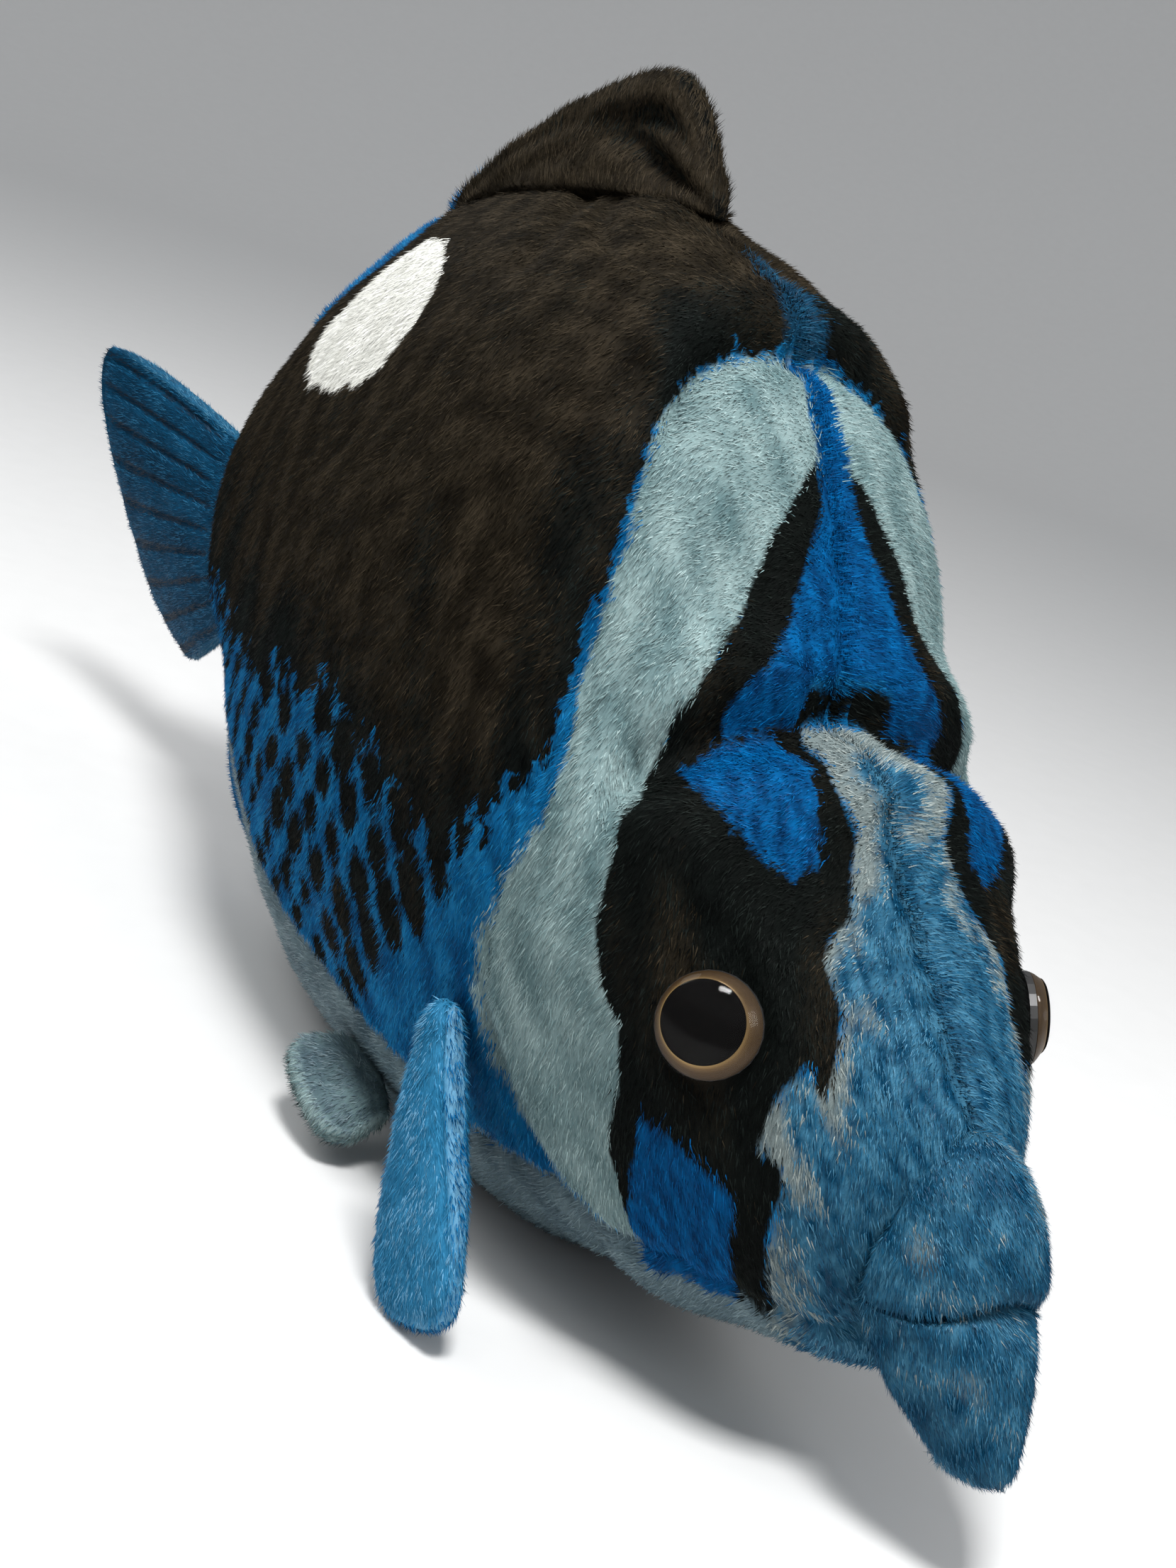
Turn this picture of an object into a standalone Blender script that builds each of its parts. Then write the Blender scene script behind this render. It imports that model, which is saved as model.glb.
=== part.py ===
"""Stuffed triggerfish soft toy: sewn skin panels over filling, padded fins and locked safety eyes.

The fish stands on its flat belly. Its nose points to -Y, its tail to +Y, and X = 0 is the middle plane.
"""

import math

import bmesh
import bpy
import numpy as np
from mathutils import Matrix, Vector

GAP = 0.0003  # left between neighbouring pieces
SKIN = 0.0020  # backing cloth with its pile
FILL_GAP = 0.0018  # between a skin and the filling behind it

# Body shape, one row per station along the fish:
# distance along Y, top, bottom, half width, height of the widest level
STATIONS = (
    (-0.116, 0.067, 0.023, 0.0165, 0.047),
    (-0.104, 0.079, 0.018, 0.0285, 0.052),
    (-0.088, 0.093, 0.013, 0.0390, 0.060),
    (-0.072, 0.107, 0.009, 0.0460, 0.068),
    (-0.058, 0.121, 0.005, 0.0500, 0.073),
    (-0.045, 0.140, 0.000, 0.0525, 0.078),
    (-0.025, 0.165, -0.003, 0.0550, 0.085),
    (0.000, 0.181, -0.005, 0.0550, 0.090),
    (0.030, 0.185, -0.004, 0.0510, 0.093),
    (0.060, 0.181, 0.002, 0.0435, 0.094),
    (0.090, 0.171, 0.014, 0.0335, 0.092),
    (0.115, 0.152, 0.031, 0.0235, 0.087),
    (0.135, 0.126, 0.044, 0.0160, 0.080),
    (0.150, 0.097, 0.052, 0.0105, 0.075),
)
NOSE_Y = -0.116
TAIL_Y = 0.150
ROOT_SLANT = 0.42  # how far the tail root leans back per metre of height
ROOT_LEVEL = 0.075  # height the lean turns about
NAPE_POWER = 0.82  # below 1 squares the brow and the nape
REAR_POWER = 1.15  # above 1 draws the rear back in to a ridge
NAPE_END_Y = 0.010  # the back starts to narrow here
REAR_START_Y = 0.075  # and has its ridge from here on
BELLY_POWER = 1.10  # above 1 narrows the belly towards the floor

GILL_SEAM = (-0.058, -0.053, -0.047, -0.043, -0.046, -0.068)  # Y of the seam behind the face, back to gusset
BELLY_V = 0.74  # share of the half girth, from the back, that ends at the gusset
SIDE_ROWS = 11  # girth samples on a side panel
GUSSET_ROWS = 5  # girth samples on each half of the gusset
HEAD_STEPS = 9
FLANK_STEPS = 15
POUCH_ROWS = ((-0.036, 0.5), (-0.027, 0.8), (-0.005, 1.0), (0.018, 1.0), (0.036, 0.8), (0.043, 0.5))
FILL_FLOOR = 0.020  # the filling ends here and the pellet pouch lies below

DARK = (0.030, 0.022, 0.017)
BLUE = (0.020, 0.130, 0.330)
PALE = (0.230, 0.340, 0.400)
MOTTLE = (0.060, 0.210, 0.360)
TEAL = (0.020, 0.110, 0.210)
FILLING = (0.850, 0.850, 0.830)
POUCH = (0.620, 0.600, 0.560)
BLACK = (0.008, 0.008, 0.008)
BROWN_GOLD = (0.300, 0.160, 0.050)
CLEAR = (0.900, 0.900, 0.900)
WHITE_PLASTIC = (0.750, 0.750, 0.730)

EYE_Y = -0.0870  # station of the eye
EYE_V = 0.385  # place of the eye round the half girth
EYE_RADIUS = 0.0090
EYE_HEIGHT = 0.0066
PUPIL_RADIUS = 0.0057
POST_RADIUS = 0.0022
POST_LENGTH = 0.0120
POST_HOLE = 0.0027
WASHER_RADIUS = 0.0072
WASHER_THICK = 0.0014
EYE_POCKET = 0.0092  # radius of the hollow pressed in the filling behind an eye
TURN_STEPS = 24  # sides of a round plastic piece

FACE_CLOTH = 0.0012  # one face of a fin
FIN_GRID = 9
BATTING_GAP = 0.0006

TAIL_ROOT = (0.0, 0.1516, 0.0750)
TAIL_DROOP = math.radians(9)
TAIL_TWIST = math.radians(20)  # the soft fan turns this far from root to rim
TAIL_LOFT = 0.0048

PECTORAL_ROOT = (0.0530, -0.0440, 0.0475)
PECTORAL_LOFT = 0.0034

SPIKE_LOFT = 0.0062

LOW_FIN_STAND = 0.0032  # how far a low fin's root stands off the skin
LOW_FIN_SHAPE = (0.30, 0.85, 1.0, 0.90, 0.35)  # share of full height from front to back
LOW_FIN_SWEEP = 0.004


def remove_all():
    """Clears every object of the startup scene."""
    for obj in list(bpy.data.objects):
        bpy.data.objects.remove(obj, do_unlink=True)


def material(name, colour, roughness, metallic):
    """A plain material holding one colour."""
    made = bpy.data.materials.new(name)
    made.use_nodes = True
    shader = made.node_tree.nodes["Principled BSDF"]
    shader.inputs["Base Color"].default_value = (*colour, 1.0)
    shader.inputs["Roughness"].default_value = roughness
    shader.inputs["Metallic"].default_value = metallic
    return made


def solid(name, points, faces, colour, roughness=0.85, metallic=0.0):
    """One named closed body whose faces look outward."""
    mesh = bpy.data.meshes.new(name)
    mesh.from_pydata([tuple(p) for p in points], [], faces)
    work = bmesh.new()
    work.from_mesh(mesh)
    bmesh.ops.remove_doubles(work, verts=work.verts, dist=0.000001)
    bmesh.ops.triangulate(work, faces=work.faces)
    bmesh.ops.recalc_face_normals(work, faces=work.faces)
    if work.calc_volume(signed=True) < 0:
        bmesh.ops.reverse_faces(work, faces=work.faces)
    work.to_mesh(mesh)
    work.free()
    mesh.materials.append(material(name + "_material", colour, roughness, metallic))
    obj = bpy.data.objects.new(name, mesh)
    bpy.context.scene.collection.objects.link(obj)
    return obj


def hinge_at(obj, point):
    """Moves the origin to a point on the joint and leaves the shape in place."""
    obj.data.transform(Matrix.Translation(-Vector(point)))
    obj.location = point
    return obj


def cut(obj, cutter):
    """Takes the cutter's shape out of the object."""
    cutter.hide_render = True
    cutter.display_type = "WIRE"
    change = obj.modifiers.new("cut", "BOOLEAN")
    change.operation = "DIFFERENCE"
    change.solver = "EXACT"
    change.object = cutter


def station(y):
    """Top, bottom, half width and widest level at a distance along the fish."""
    rows = np.array(STATIONS)
    slopes = np.gradient(rows[:, 1:], rows[:, 0], axis=0)
    y = min(max(y, NOSE_Y), TAIL_Y)
    k = min(int(np.searchsorted(rows[:, 0], y, side="right")) - 1, len(rows) - 2)
    width = rows[k + 1, 0] - rows[k, 0]
    t = (y - rows[k, 0]) / width
    start = (2 * t**3 - 3 * t**2 + 1) * rows[k, 1:] + (t**3 - 2 * t**2 + t) * width * slopes[k]
    end = (3 * t**2 - 2 * t**3) * rows[k + 1, 1:] + (t**3 - t**2) * width * slopes[k + 1]
    return start + end


def top_power(y):
    """How the upper half of a section closes: square over the nape, ridged at the rear."""
    share = min(max((y - NAPE_END_Y) / (REAR_START_Y - NAPE_END_Y), 0.0), 1.0)
    return NAPE_POWER + (REAR_POWER - NAPE_POWER) * share


def body_point(y, v, inset=0.0, floor=0.0):
    """A point of the right half: v runs from 0 on the back to 1 under the belly."""
    top, bottom, half, level = station(y)
    angle = math.pi * v
    power = top_power(y) if v < 0.5 else BELLY_POWER
    reach = (top - inset - level) if v < 0.5 else (level - bottom - inset)
    x = (half - inset) * math.sin(angle) ** power if 0 < v < 1 else 0.0
    z = max(level + reach * math.cos(angle), floor + inset)
    lean = ROOT_SLANT * max(0.0, (y - 0.100) / (TAIL_Y - 0.100)) ** 2
    return np.array((-x, y + lean * (z - ROOT_LEVEL), z))


def half_girth(y):
    """Rough length over the surface from the back to the belly."""
    top, bottom, half, _ = station(y)
    return math.pi * math.hypot(half, (top - bottom) / 2) / math.sqrt(2)


def gill_y(v):
    """Where the seam between face and flank lies, by place round the girth."""
    return float(blend([(y,) for y in GILL_SEAM], min(v / BELLY_V, 1.0))[0])


def shell(name, outer, inner, colour):
    """A closed sheet between two grids of points."""
    rows = len(outer)
    cols = len(outer[0])
    points = [p for row in outer for p in row] + [p for row in inner for p in row]
    back = rows * cols
    faces = []
    for i in range(rows - 1):
        for j in range(cols - 1):
            a = i * cols + j
            faces.append((a, a + 1, a + cols + 1, a + cols))
            faces.append((back + a, back + a + cols, back + a + cols + 1, back + a + 1))
    for i in range(rows - 1):
        for j in (0, cols - 1):
            a = i * cols + j
            faces.append((a, a + cols, back + a + cols, back + a))
    for j in range(cols - 1):
        for i in (0, rows - 1):
            a = i * cols + j
            faces.append((a, a + 1, back + a + 1, back + a))
    return solid(name, points, faces, colour)


def side_panel(name, side, start, end, steps, colour):
    """One half of the face or of the flank, from the back seam to the gusset."""
    outer = []
    inner = []
    for i in range(steps):
        rows = ([], [])
        for j in range(SIDE_ROWS):
            share = j / (SIDE_ROWS - 1)
            v_mid = BELLY_V * share
            low = start(v_mid) + GAP / 2
            high = end(v_mid) - GAP / 2
            y = low + (high - low) * i / (steps - 1)
            v = (BELLY_V - GAP / 2 / half_girth(y)) * share
            for row, inset in zip(rows, (0.0, SKIN)):
                p = body_point(y, v, inset)
                row.append((side * (-p[0] + GAP / 2), p[1], p[2]))
        outer.append(rows[0])
        inner.append(rows[1])
    return shell(name, outer, inner, colour)


def gusset_stations():
    """Distances along the fish shared with the lower edges of the side panels."""
    seam = gill_y(BELLY_V)
    front = np.linspace(NOSE_Y + GAP, seam, HEAD_STEPS)
    rear = np.linspace(seam, TAIL_Y - GAP / 2, FLANK_STEPS)
    return list(front) + list(rear[1:])


def belly_gusset():
    """The plain panel under chin, belly and tail root, flat where the toy stands."""
    outer = []
    inner = []
    for y in gusset_stations():
        first = BELLY_V + GAP / 2 / half_girth(y)
        places = np.linspace(first, 1.0, GUSSET_ROWS)
        rows = ([], [])
        for row, inset in zip(rows, (0.0, SKIN)):
            half = [body_point(y, v, inset) for v in places]
            row.extend(half)
            row.extend(np.array((-p[0], p[1], p[2])) for p in half[-2::-1])
        outer.append(rows[0])
        inner.append(rows[1])
    return shell("belly_gusset", outer, inner, PALE)


def ring_loft(name, rings, colour, roughness=0.85):
    """A closed body through rings of points, with a flat fan at each end."""
    count = len(rings[0])
    points = [p for ring in rings for p in ring]
    faces = []
    for i in range(len(rings) - 1):
        for j in range(count):
            a = i * count + j
            b = i * count + (j + 1) % count
            faces.append((a, b, b + count, a + count))
    for base in (0, (len(rings) - 1) * count):
        centre = len(points)
        points.append(np.mean(points[base : base + count], axis=0))
        for j in range(count):
            faces.append((base + j, base + (j + 1) % count, centre))
    return solid(name, points, faces, colour, roughness)


def filling(name, low, high, steps):
    """The polyester filling between two stations, with the seam's bow followed."""
    inset = SKIN + FILL_GAP
    places = np.linspace(0.0, 1.0, 13)
    rings = []
    for i in range(steps):
        share = i / (steps - 1)
        half = []
        for v in places:
            y = low(v) + (high(v) - low(v)) * share
            half.append(body_point(y, v, inset, FILL_FLOOR - inset))
        other = [np.array((-p[0], p[1], p[2])) for p in half[-2:0:-1]]
        rings.append(half + other)
    return ring_loft(name, rings, FILLING, 0.95)


def pellet_pouch():
    """The weighted pouch lying flat inside the belly."""
    rings = []
    for y, share in POUCH_ROWS:
        ring = []
        for k in range(20):
            angle = 2 * math.pi * k / 20
            x = 0.021 * share * math.copysign(abs(math.cos(angle)) ** 0.7, math.cos(angle))
            z = 0.0112 + 0.0072 * share * math.copysign(abs(math.sin(angle)) ** 0.8, math.sin(angle))
            ring.append((x, y, z))
        rings.append(ring)
    return ring_loft("pellet_pouch", rings, POUCH, 0.95)


def lip_ring(y, half_width, low, high, lean):
    """One upright oval of a lip, leaning forward at its foot."""
    ring = []
    for k in range(20):
        angle = 2 * math.pi * k / 20
        x = half_width * math.copysign(abs(math.cos(angle)) ** 0.85, math.cos(angle))
        z = (high + low) / 2 + (high - low) / 2 * math.sin(angle)
        ring.append((x, y + lean * (high - z), z))
    return ring


def upper_lip():
    """The padded upper lip, a rounded roll in front of the face."""
    rows = (
        (NOSE_Y - 0.0006, 0.0160, 0.0430, 0.0665, 0.0),
        (NOSE_Y - 0.0060, 0.0165, 0.0425, 0.0655, 0.04),
        (NOSE_Y - 0.0110, 0.0150, 0.0425, 0.0620, 0.06),
        (NOSE_Y - 0.0150, 0.0105, 0.0432, 0.0570, 0.08),
        (NOSE_Y - 0.0170, 0.0050, 0.0455, 0.0520, 0.08),
    )
    return ring_loft("upper_lip", [lip_ring(*row) for row in rows], MOTTLE)


def lower_lip():
    """The padded lower lip, a three-cornered flap that hangs forward under the mouth."""
    rows = (
        (0.0420, -0.1262, 0.0088, 0.0145),
        (0.0370, -0.1272, 0.0098, 0.0165),
        (0.0310, -0.1292, 0.0098, 0.0160),
        (0.0255, -0.1325, 0.0084, 0.0120),
        (0.0205, -0.1368, 0.0056, 0.0072),
        (0.0180, -0.1390, 0.0026, 0.0034),
    )
    rings = []
    for z, y, depth, half_width in rows:
        ring = []
        for k in range(20):
            angle = 2 * math.pi * k / 20
            x = half_width * math.cos(angle)
            ring.append((x, y + depth * math.sin(angle), z + 0.10 * depth * math.sin(angle)))
        rings.append(ring)
    return ring_loft("lower_lip", rings, MOTTLE)


def muzzle_lining():
    """The oval cloth that closes the front of the face behind the lips."""
    rings = []
    for y in (NOSE_Y + 0.0006, NOSE_Y + 0.0022):
        half = [body_point(y, v, SKIN + GAP) for v in np.linspace(0.0, 1.0, 9)]
        rings.append(half + [np.array((-p[0], p[1], p[2])) for p in half[-2:0:-1]])
    return ring_loft("muzzle_lining", rings, MOTTLE)


def turned(name, profile, place, colour, roughness, metallic=0.0):
    """A body turned about the local Z axis from (radius, height) pairs, then set in place."""
    closed_ring = profile[0][0] > 0 and profile[-1][0] > 0
    points = []
    faces = []
    for radius, height in profile:
        for k in range(TURN_STEPS):
            angle = 2 * math.pi * k / TURN_STEPS
            points.append((radius * math.cos(angle), radius * math.sin(angle), height))
    bands = len(profile) if closed_ring else len(profile) - 1
    for i in range(bands):
        for k in range(TURN_STEPS):
            a = i * TURN_STEPS + k
            b = i * TURN_STEPS + (k + 1) % TURN_STEPS
            c = ((i + 1) % len(profile)) * TURN_STEPS
            faces.append((a, b, c + (k + 1) % TURN_STEPS, c + k))
    placed = [place @ Vector(p) for p in points]
    return solid(name, placed, faces, colour, roughness, metallic)


def eye_place(side):
    """Where an eye sits: its own Z points out of the face."""
    here = body_point(EYE_Y, EYE_V)
    along = body_point(EYE_Y + 0.001, EYE_V) - here
    round_ = body_point(EYE_Y, EYE_V + 0.005) - here
    normal = np.cross(round_, along)
    normal = normal / np.linalg.norm(normal)
    if normal[0] > 0:
        normal = -normal
    seat = here + normal * 0.0009
    out = Vector((side * -normal[0], normal[1], normal[2]))
    turn = Vector((0, 0, 1)).rotation_difference(out).to_matrix().to_4x4()
    return Matrix.Translation(Vector((side * -seat[0], seat[1], seat[2]))) @ turn


def eye_parts(word, side):
    """Dome, pupil, iris, back plate with post, and the washer that locks it."""
    place = eye_place(side)
    rim = EYE_RADIUS
    dome = ((0.0, 0.0029), (rim - 0.0012, 0.0029), (rim - 0.0012, 0.0016), (rim, 0.0016))
    curve = []
    for k in range(1, 6):
        angle = math.pi / 2 * k / 6
        curve.append((rim * math.cos(angle), 0.0016 + (EYE_HEIGHT - 0.0016) * math.sin(angle)))
    turned(word + "_eye_dome", (*dome, *curve, (0.0, EYE_HEIGHT)), place, CLEAR, 0.03)
    disc = rim - 0.0016
    iris = ((0.0, 0.0016), (disc, 0.0016), (disc, 0.0020), (0.0, 0.0020))
    turned(word + "_eye_iris", iris, place, BROWN_GOLD, 0.3, 0.6)
    pupil = ((0.0, 0.0023), (PUPIL_RADIUS, 0.0023), (PUPIL_RADIUS, 0.0026), (0.0, 0.0026))
    turned(word + "_eye_pupil", pupil, place, BLACK, 0.05)
    plate = ((0.0, -POST_LENGTH), (POST_RADIUS, -POST_LENGTH), (POST_RADIUS, 0.0), (rim - 0.0004, 0.0))
    turned(word + "_eye_shank", (*plate, (rim - 0.0004, 0.0013), (0.0, 0.0013)), place, BLACK, 0.4)
    low = -0.0062
    washer = (
        (POST_RADIUS + GAP, low),
        (WASHER_RADIUS, low),
        (WASHER_RADIUS, low + WASHER_THICK),
        (POST_RADIUS + GAP, low + WASHER_THICK),
    )
    turned(word + "_eye_washer", washer, place, WHITE_PLASTIC, 0.5)


def eye_cutters(side):
    """The hole for the post through the skin and the hollow behind it."""
    place = eye_place(side)
    hole = ((0.0, -0.020), (POST_HOLE, -0.020), (POST_HOLE, 0.010), (0.0, 0.010))
    pocket = ((0.0, -0.016), (EYE_POCKET, -0.016), (EYE_POCKET, 0.012), (0.0, 0.012))
    word = "left" if side > 0 else "right"
    return (
        turned(word + "_post_hole_cutter", hole, place, BLACK, 0.5),
        turned(word + "_eye_pocket_cutter", pocket, place, BLACK, 0.5),
    )


def blend(rows, share):
    """A smooth curve through equally spaced points."""
    rows = np.array(rows, float)
    place = share * (len(rows) - 1)
    k = min(int(place), len(rows) - 2)
    t = place - k
    slopes = np.gradient(rows, axis=0)
    start = (2 * t**3 - 3 * t**2 + 1) * rows[k] + (t**3 - 2 * t**2 + t) * slopes[k]
    end = (3 * t**2 - 2 * t**3) * rows[k + 1] + (t**3 - t**2) * slopes[k + 1]
    return start + end


class Fin:
    """A padded fin: a root line, a tip line and the frame that its flat plane lies in."""

    def __init__(self, root, tip, origin, chord, span, loft, open_root=0.35, twist=0.0):
        self.root = root
        self.tip = tip
        self.origin = np.array(origin, float)
        self.chord = np.array(chord, float) / np.linalg.norm(chord)
        self.span = np.array(span, float) / np.linalg.norm(span)
        normal = np.cross(self.chord, self.span)
        self.normal = normal / np.linalg.norm(normal)
        self.twist = twist
        self.loft = loft
        self.open_root = open_root

    def half_thick(self, s, r):
        """Half thickness of the filling: full inside, nothing at the sewn edge."""
        side = math.sqrt(max(math.sin(math.pi * s), 0.0))
        root_fall = self.open_root + (1 - self.open_root) * math.sin(math.pi / 2 * min(r / 0.4, 1.0))
        return self.loft * side * root_fall * math.sqrt(max(1 - r**2.5, 0.0))

    def place(self, s, r, height):
        """The point at s along the chord and r from root to tip, off the middle plane."""
        c, h = blend(self.root, s) * (1 - r) + blend(self.tip, s) * r
        turn = self.twist * r
        chord = self.chord * math.cos(turn) + self.normal * math.sin(turn)
        normal = self.normal * math.cos(turn) - self.chord * math.sin(turn)
        return self.origin + chord * c + self.span * h + normal * height


def fin_face(name, fin, way, colour):
    """One cloth face of a fin, cupped over the batting."""
    steps = np.linspace(0.0, 1.0, FIN_GRID)
    grids = ([], [])
    for r in steps:
        rows = ([], [])
        for s in steps:
            low = fin.half_thick(s, r) + GAP / 2
            rows[0].append(fin.place(s, r, way * (low + FACE_CLOTH)))
            rows[1].append(fin.place(s, r, way * low))
        grids[0].append(rows[0])
        grids[1].append(rows[1])
    return shell(name, grids[0], grids[1], colour)


def fin_batting(name, fin):
    """The flat pad of batting between two faces."""
    grids = ([], [])
    for r in np.linspace(0.08, 0.84, FIN_GRID - 2):
        rows = ([], [])
        for s in np.linspace(0.10, 0.90, FIN_GRID - 2):
            high = max(fin.half_thick(s, r) - BATTING_GAP, 0.0003)
            rows[0].append(fin.place(s, r, high))
            rows[1].append(fin.place(s, r, -high))
        grids[0].append(rows[0])
        grids[1].append(rows[1])
    return shell(name, grids[0], grids[1], FILLING)


def fin_pieces(stem, names, fin, colour, pivot):
    """Both faces and the batting of one fin, all turning about the same point."""
    hinge_at(fin_face(stem + names[0], fin, 1, colour), pivot)
    hinge_at(fin_face(stem + names[1], fin, -1, colour), pivot)
    hinge_at(fin_batting(stem + "_batting", fin), pivot)


def fin_pad(name, fin, colour, pivot):
    """A small fin made as one padded piece."""
    steps = np.linspace(0.0, 1.0, FIN_GRID)
    grids = ([], [])
    for r in steps:
        rows = ([], [])
        for s in steps:
            high = fin.half_thick(s, r) + FACE_CLOTH
            rows[0].append(fin.place(s, r, high))
            rows[1].append(fin.place(s, r, -high))
        grids[0].append(rows[0])
        grids[1].append(rows[1])
    return hinge_at(shell(name, grids[0], grids[1], colour), pivot)


def tail_fin():
    """The fan, drooping a little behind the slanted tail root."""
    chord = (0.0, ROOT_SLANT, 1.0)
    span = (0.0, math.cos(TAIL_DROOP), -math.sin(TAIL_DROOP))
    root = ((-0.0235, 0.0), (-0.0115, 0.0), (0.0, 0.0), (0.0115, 0.0), (0.0235, 0.0))
    tip = ((-0.0450, 0.0500), (-0.0260, 0.0620), (0.0, 0.0660), (0.0260, 0.0640), (0.0460, 0.0560))
    fin = Fin(root, tip, TAIL_ROOT, chord, span, TAIL_LOFT, 0.7, TAIL_TWIST)
    fin_pieces("tail_fin", ("_left_face", "_right_face"), fin, TEAL, TAIL_ROOT)


def pectoral_fin(word, side):
    """A paddle that hangs behind the cheek."""
    x, y, z = PECTORAL_ROOT
    chord = (side * 0.05, 0.88, -0.47)
    span = (side * 0.05, -0.47, -0.88)
    root = ((-0.0070, 0.0), (-0.0035, 0.0), (0.0, 0.0), (0.0035, 0.0), (0.0070, 0.0))
    tip = ((-0.0085, 0.0370), (-0.0060, 0.0480), (0.0020, 0.0500), (0.0110, 0.0470), (0.0150, 0.0360))
    fin = Fin(root, tip, (side * x, y, z), chord, span, PECTORAL_LOFT, 0.6)
    names = ("_inner_face", "_outer_face") if side > 0 else ("_outer_face", "_inner_face")
    fin_pieces(word + "_pectoral_fin", names, fin, BLUE, (side * x, y, z))


def first_dorsal_fin():
    """The tall spike, steep in front and long behind, standing on the back seam."""
    root = []
    for y in np.linspace(0.015, 0.099, 5):
        root.append((y, station(y)[0] + 0.0018))
    tip = ((0.0160, 0.1895), (0.0320, 0.2070), (0.0460, 0.2095), (0.0720, 0.1970), (0.1000, 0.1740))
    fin = Fin(root, tip, (0.0, 0.0, 0.0), (0.0, 1.0, 0.0), (0.0, 0.0, 1.0), SPIKE_LOFT, 0.8)
    pivot = (0.0, 0.055, 0.186)
    fin_pieces("first_dorsal_fin", ("_left_face", "_right_face"), fin, DARK, pivot)


def low_fin(name, low, high, reach, side_lean, lower, colour):
    """A low soft fin along the back or under the tail root; a lean lays it over to the left."""
    way = -1.0 if lower else 1.0
    tilt = math.radians(side_lean)
    root = []
    tip = []
    for k, y in enumerate(np.linspace(low, high, 5)):
        seat = body_point(y, 1.0 if lower else 0.0)
        root.append((seat[1], seat[2] + way * LOW_FIN_STAND))
        tip.append((seat[1] + LOW_FIN_SWEEP, reach * LOW_FIN_SHAPE[k]))
    first = np.array(root[0])
    last = np.array(root[-1])
    chord = np.array((0.0, *(last - first)))
    length = np.linalg.norm(chord)
    chord = chord / length
    up = np.array((0.0, -chord[2], chord[1]))
    span = way * (up * math.cos(tilt) + np.array((1.0, 0.0, 0.0)) * math.sin(tilt))
    flat_root = []
    flat_tip = []
    for (y, z), (tip_y, rise) in zip(root, tip):
        along = (np.array((y, z)) - first) @ chord[1:]
        off = abs((np.array((y, z)) - first) @ up[1:])
        flat_root.append((along, off))
        flat_tip.append((along + tip_y - y, off + rise))
    origin = (0.0, *first)
    fin = Fin(flat_root, flat_tip, origin, chord, span, 0.0020, 0.6)
    return fin_pad(name, fin, colour, origin)


def pelvic_lobe(word, side):
    """A rounded pale lobe lying beside the flat of the belly."""
    origin = (side * 0.0345, -0.0040, 0.0125)
    chord = (side * -0.05, 0.94, 0.30)
    span = (side * 0.97, 0.05, -0.22)
    root = ((-0.0110, 0.0), (-0.0055, 0.0), (0.0, 0.0), (0.0055, 0.0), (0.0110, 0.0))
    tip = ((-0.0135, 0.0090), (-0.0090, 0.0155), (0.0, 0.0175), (0.0090, 0.0155), (0.0135, 0.0090))
    fin = Fin(root, tip, origin, chord, span, 0.0036, 0.7)
    return fin_pad(word + "_pelvic_lobe", fin, PALE, origin)


def build():
    """Every piece of the toy."""
    remove_all()
    for word, side in (("right", -1), ("left", 1)):
        side_panel(word + "_flank_skin", side, gill_y, lambda v: TAIL_Y, FLANK_STEPS, DARK)
        head = side_panel(word + "_head_skin", side, lambda v: NOSE_Y, gill_y, HEAD_STEPS, PALE)
        hole, _ = eye_cutters(side)
        cut(head, hole)
        eye_parts(word, side)
        pectoral_fin(word, side)
        pelvic_lobe(word, side)
    belly_gusset()
    filling("body_stuffing", lambda v: gill_y(v) + 0.0008, lambda v: TAIL_Y - 0.014, 15)
    head = filling("head_stuffing", lambda v: NOSE_Y + 0.004, lambda v: gill_y(v) - 0.0008, 8)
    for cutter in [o for o in bpy.data.objects if o.name.endswith("_eye_pocket_cutter")]:
        cut(head, cutter)
    pellet_pouch()
    muzzle_lining()
    upper_lip()
    lower_lip()
    tail_fin()
    first_dorsal_fin()
    low_fin("second_dorsal_fin", 0.103, 0.134, 0.011, 50, False, BLUE)
    low_fin("anal_fin", 0.092, 0.132, 0.012, 0, True, BLUE)


build()
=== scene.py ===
"""Stuffed plush triggerfish: printed pile skins over filling, padded fins and lips, domed safety eyes."""
import math

import bpy
import numpy as np
from mathutils import Matrix, Vector, noise


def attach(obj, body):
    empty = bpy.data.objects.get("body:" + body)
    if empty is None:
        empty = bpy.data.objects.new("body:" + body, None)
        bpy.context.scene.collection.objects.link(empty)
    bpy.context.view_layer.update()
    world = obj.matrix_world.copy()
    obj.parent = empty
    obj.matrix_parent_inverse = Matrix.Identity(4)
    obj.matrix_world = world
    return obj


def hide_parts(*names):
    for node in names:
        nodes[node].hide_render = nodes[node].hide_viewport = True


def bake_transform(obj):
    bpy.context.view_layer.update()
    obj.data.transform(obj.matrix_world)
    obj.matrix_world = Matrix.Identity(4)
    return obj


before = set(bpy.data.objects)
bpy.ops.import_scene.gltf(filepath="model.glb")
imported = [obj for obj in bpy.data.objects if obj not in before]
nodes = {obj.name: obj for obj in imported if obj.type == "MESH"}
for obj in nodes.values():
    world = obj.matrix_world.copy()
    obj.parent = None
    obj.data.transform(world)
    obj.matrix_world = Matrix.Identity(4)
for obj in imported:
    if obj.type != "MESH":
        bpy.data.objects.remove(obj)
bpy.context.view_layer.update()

MM = 0.001

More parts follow.
